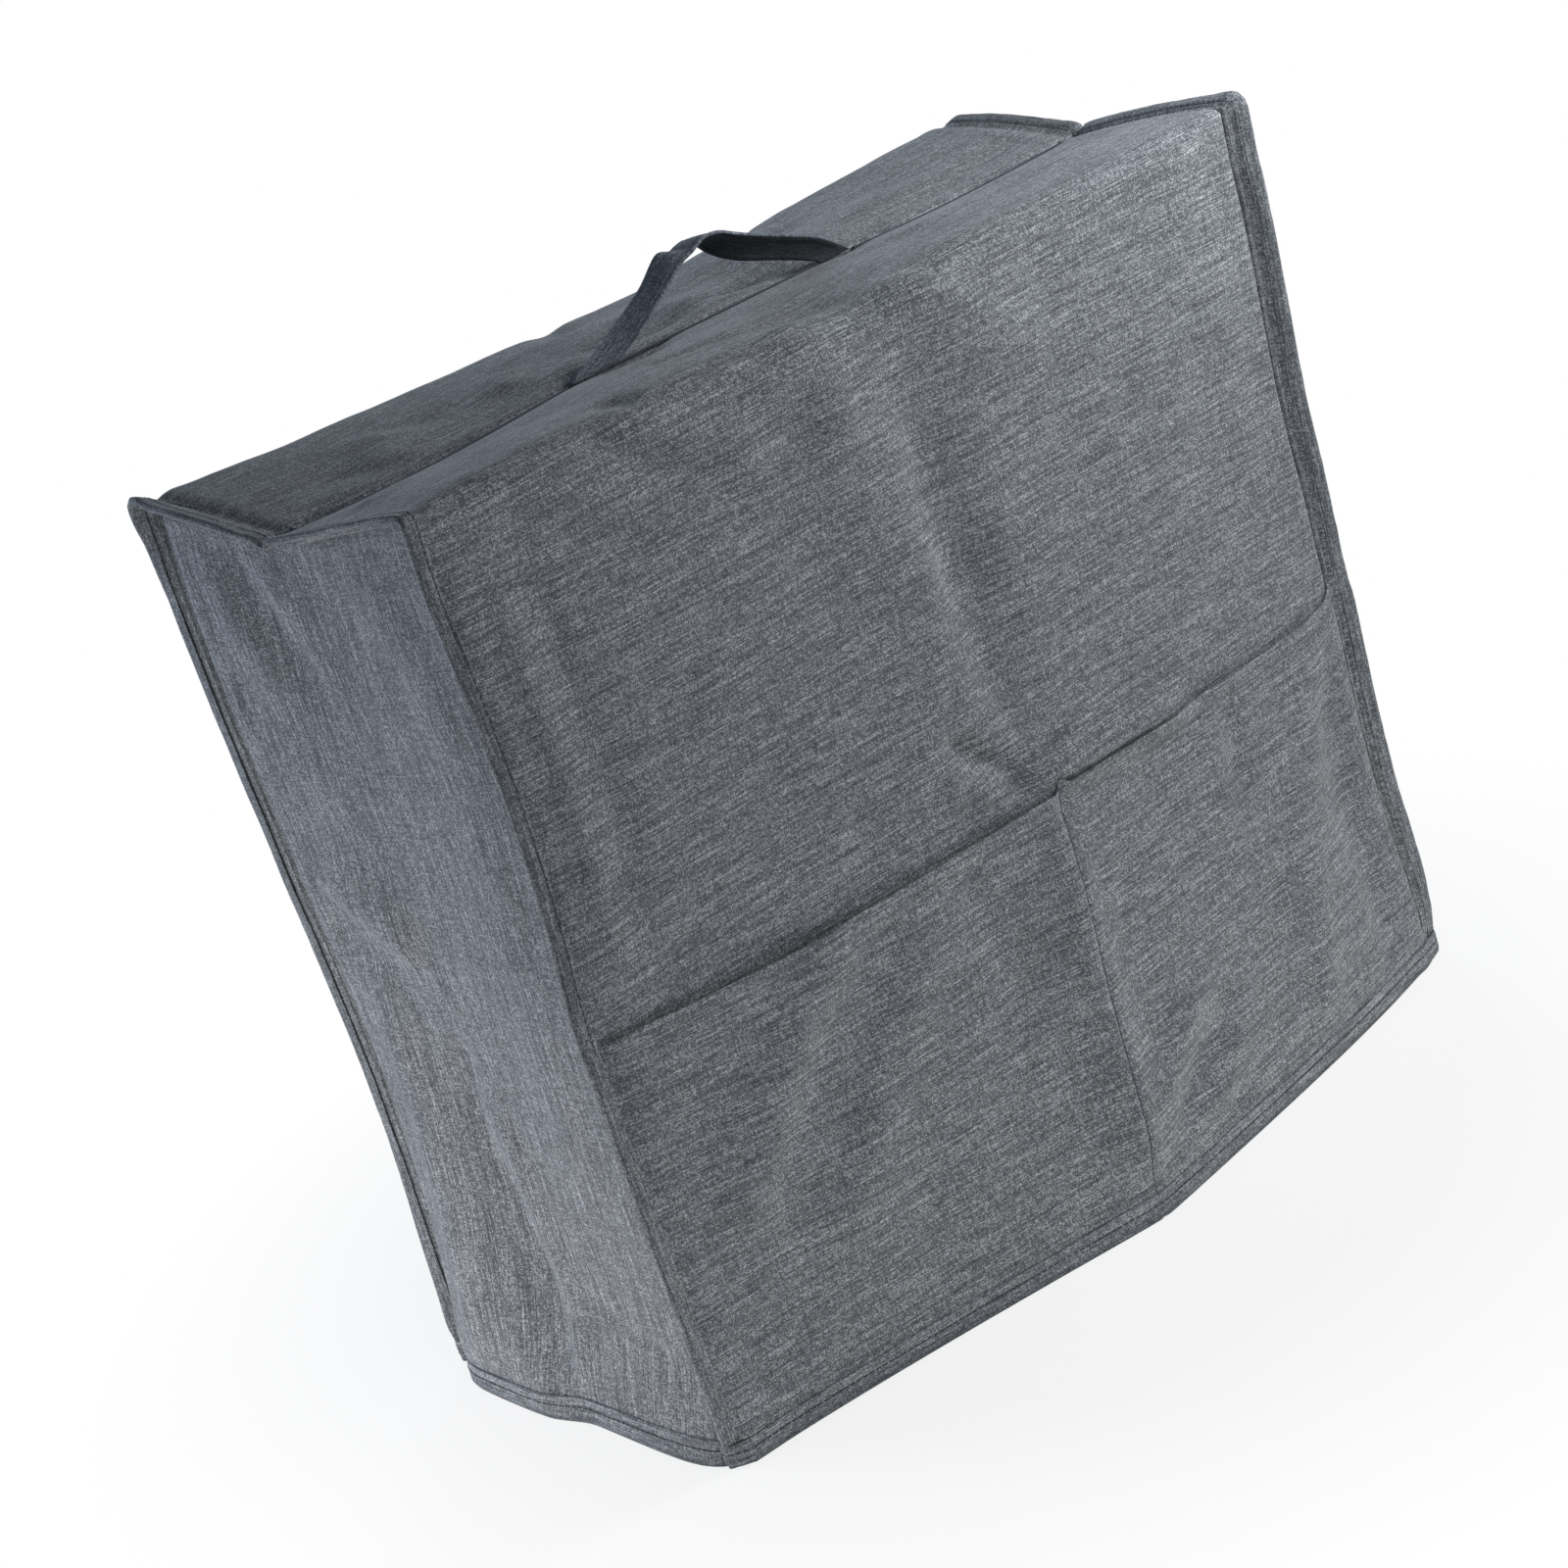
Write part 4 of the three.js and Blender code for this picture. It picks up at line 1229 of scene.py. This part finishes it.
def area_lamp(name, shape, colour, stands):
    """A lamp that the camera does not see."""
    light = bpy.data.lights.new(name, "AREA")
    light.shape = shape
    light.color = colour
    holder = bpy.data.objects.new(name, light)
    holder.matrix_world = stands
    holder.visible_camera = False
    bpy.context.scene.collection.objects.link(holder)
    return light


def soft_box(name, place, aim, size, level, colour):
    """A square lamp in mm. Its level is how brightly it alone would light a surface that faces it there."""
    place, aim = Vector(place) * MM, Vector(aim) * MM
    towards = (aim - place).to_track_quat("-Z", "Y").to_matrix().to_4x4()
    light = area_lamp(name, "SQUARE", colour, Matrix.Translation(place) @ towards)
    light.size = size * MM
    light.energy = level * math.pi ** 2 * (aim - place).length_squared


def table_glow(name, place, size, turn, level, colour):
    """A pale patch of the table, in mm and degrees. At level 1 it is as bright as a white sheet."""
    turned = Matrix.Rotation(math.radians(turn), 4, "Z") @ Matrix.Rotation(math.pi, 4, "X")
    stands = Matrix.Translation((place[0] * MM, place[1] * MM, 0.002)) @ turned
    light = area_lamp(name, "RECTANGLE", colour, stands)
    light.size, light.size_y = size[0] * MM, size[1] * MM
    light.energy = level * math.pi * light.size * light.size_y


# A neutral box at the front right and one by the top right corner rake over the folds, and a weak one fills
# from the front. Cool ones stand behind and at the left. The table throws light up, most of it near the hem.
soft_box("front right box", (800, -560, 700), (60, -100, 280), 400, 0.445, (1.0, 0.985, 0.955))
soft_box("top right box", (320, -290, 640), (160, -90, 440), 180, 1.38, (0.92, 0.96, 1.0))
soft_box("front fill", (-420, -1100, 420), (-60, -110, 220), 500, 0.13, (1.0, 0.985, 0.96))
soft_box("rear box", (620, 820, 760), (180, 40, 450), 500, 0.40, (0.73, 0.84, 1.0))
soft_box("left rear box", (-700, 760, 460), (-250, 0, 280), 360, 0.62, (0.70, 0.80, 1.0))
soft_box("left low box", (-560, 60, 160), (-250, 20, 50), 240, 0.5, (1.0, 0.96, 0.91))
table_glow("front table", (0, -390), (620, 330), 0, 0.9, (1.0, 0.98, 0.94))
table_glow("front left hem glow", (-144, -196), (290, 130), -9.2, 0.9, (1.0, 0.98, 0.94))
table_glow("front right hem glow", (144, -196), (290, 130), 9.2, 0.9, (1.0, 0.98, 0.94))
table_glow("left table", (-410, 20), (290, 300), 0, 1.55, (1.0, 0.97, 0.94))


def stand_camera():
    camera = bpy.data.cameras.new("camera")
    camera.lens = 82.5
    camera.sensor_width = 36.0
    camera.clip_end = 100.0
    forward = Vector((0.54745, 0.76502, -0.33916)).normalized()
    upward = Vector((0.43167, 0.08904, 0.89762))
    right = forward.cross(upward).normalized()
    upward = right.cross(forward)
    holder = bpy.data.objects.new("camera", camera)
    turned = Matrix((right, upward, -forward)).transposed().to_4x4()
    holder.matrix_world = Matrix.Translation((-0.9623, -1.2891, 0.7942)) @ turned
    bpy.context.scene.collection.objects.link(holder)
    bpy.context.scene.camera = holder


stand_camera()
bpy.context.scene.view_settings.view_transform = "Standard"
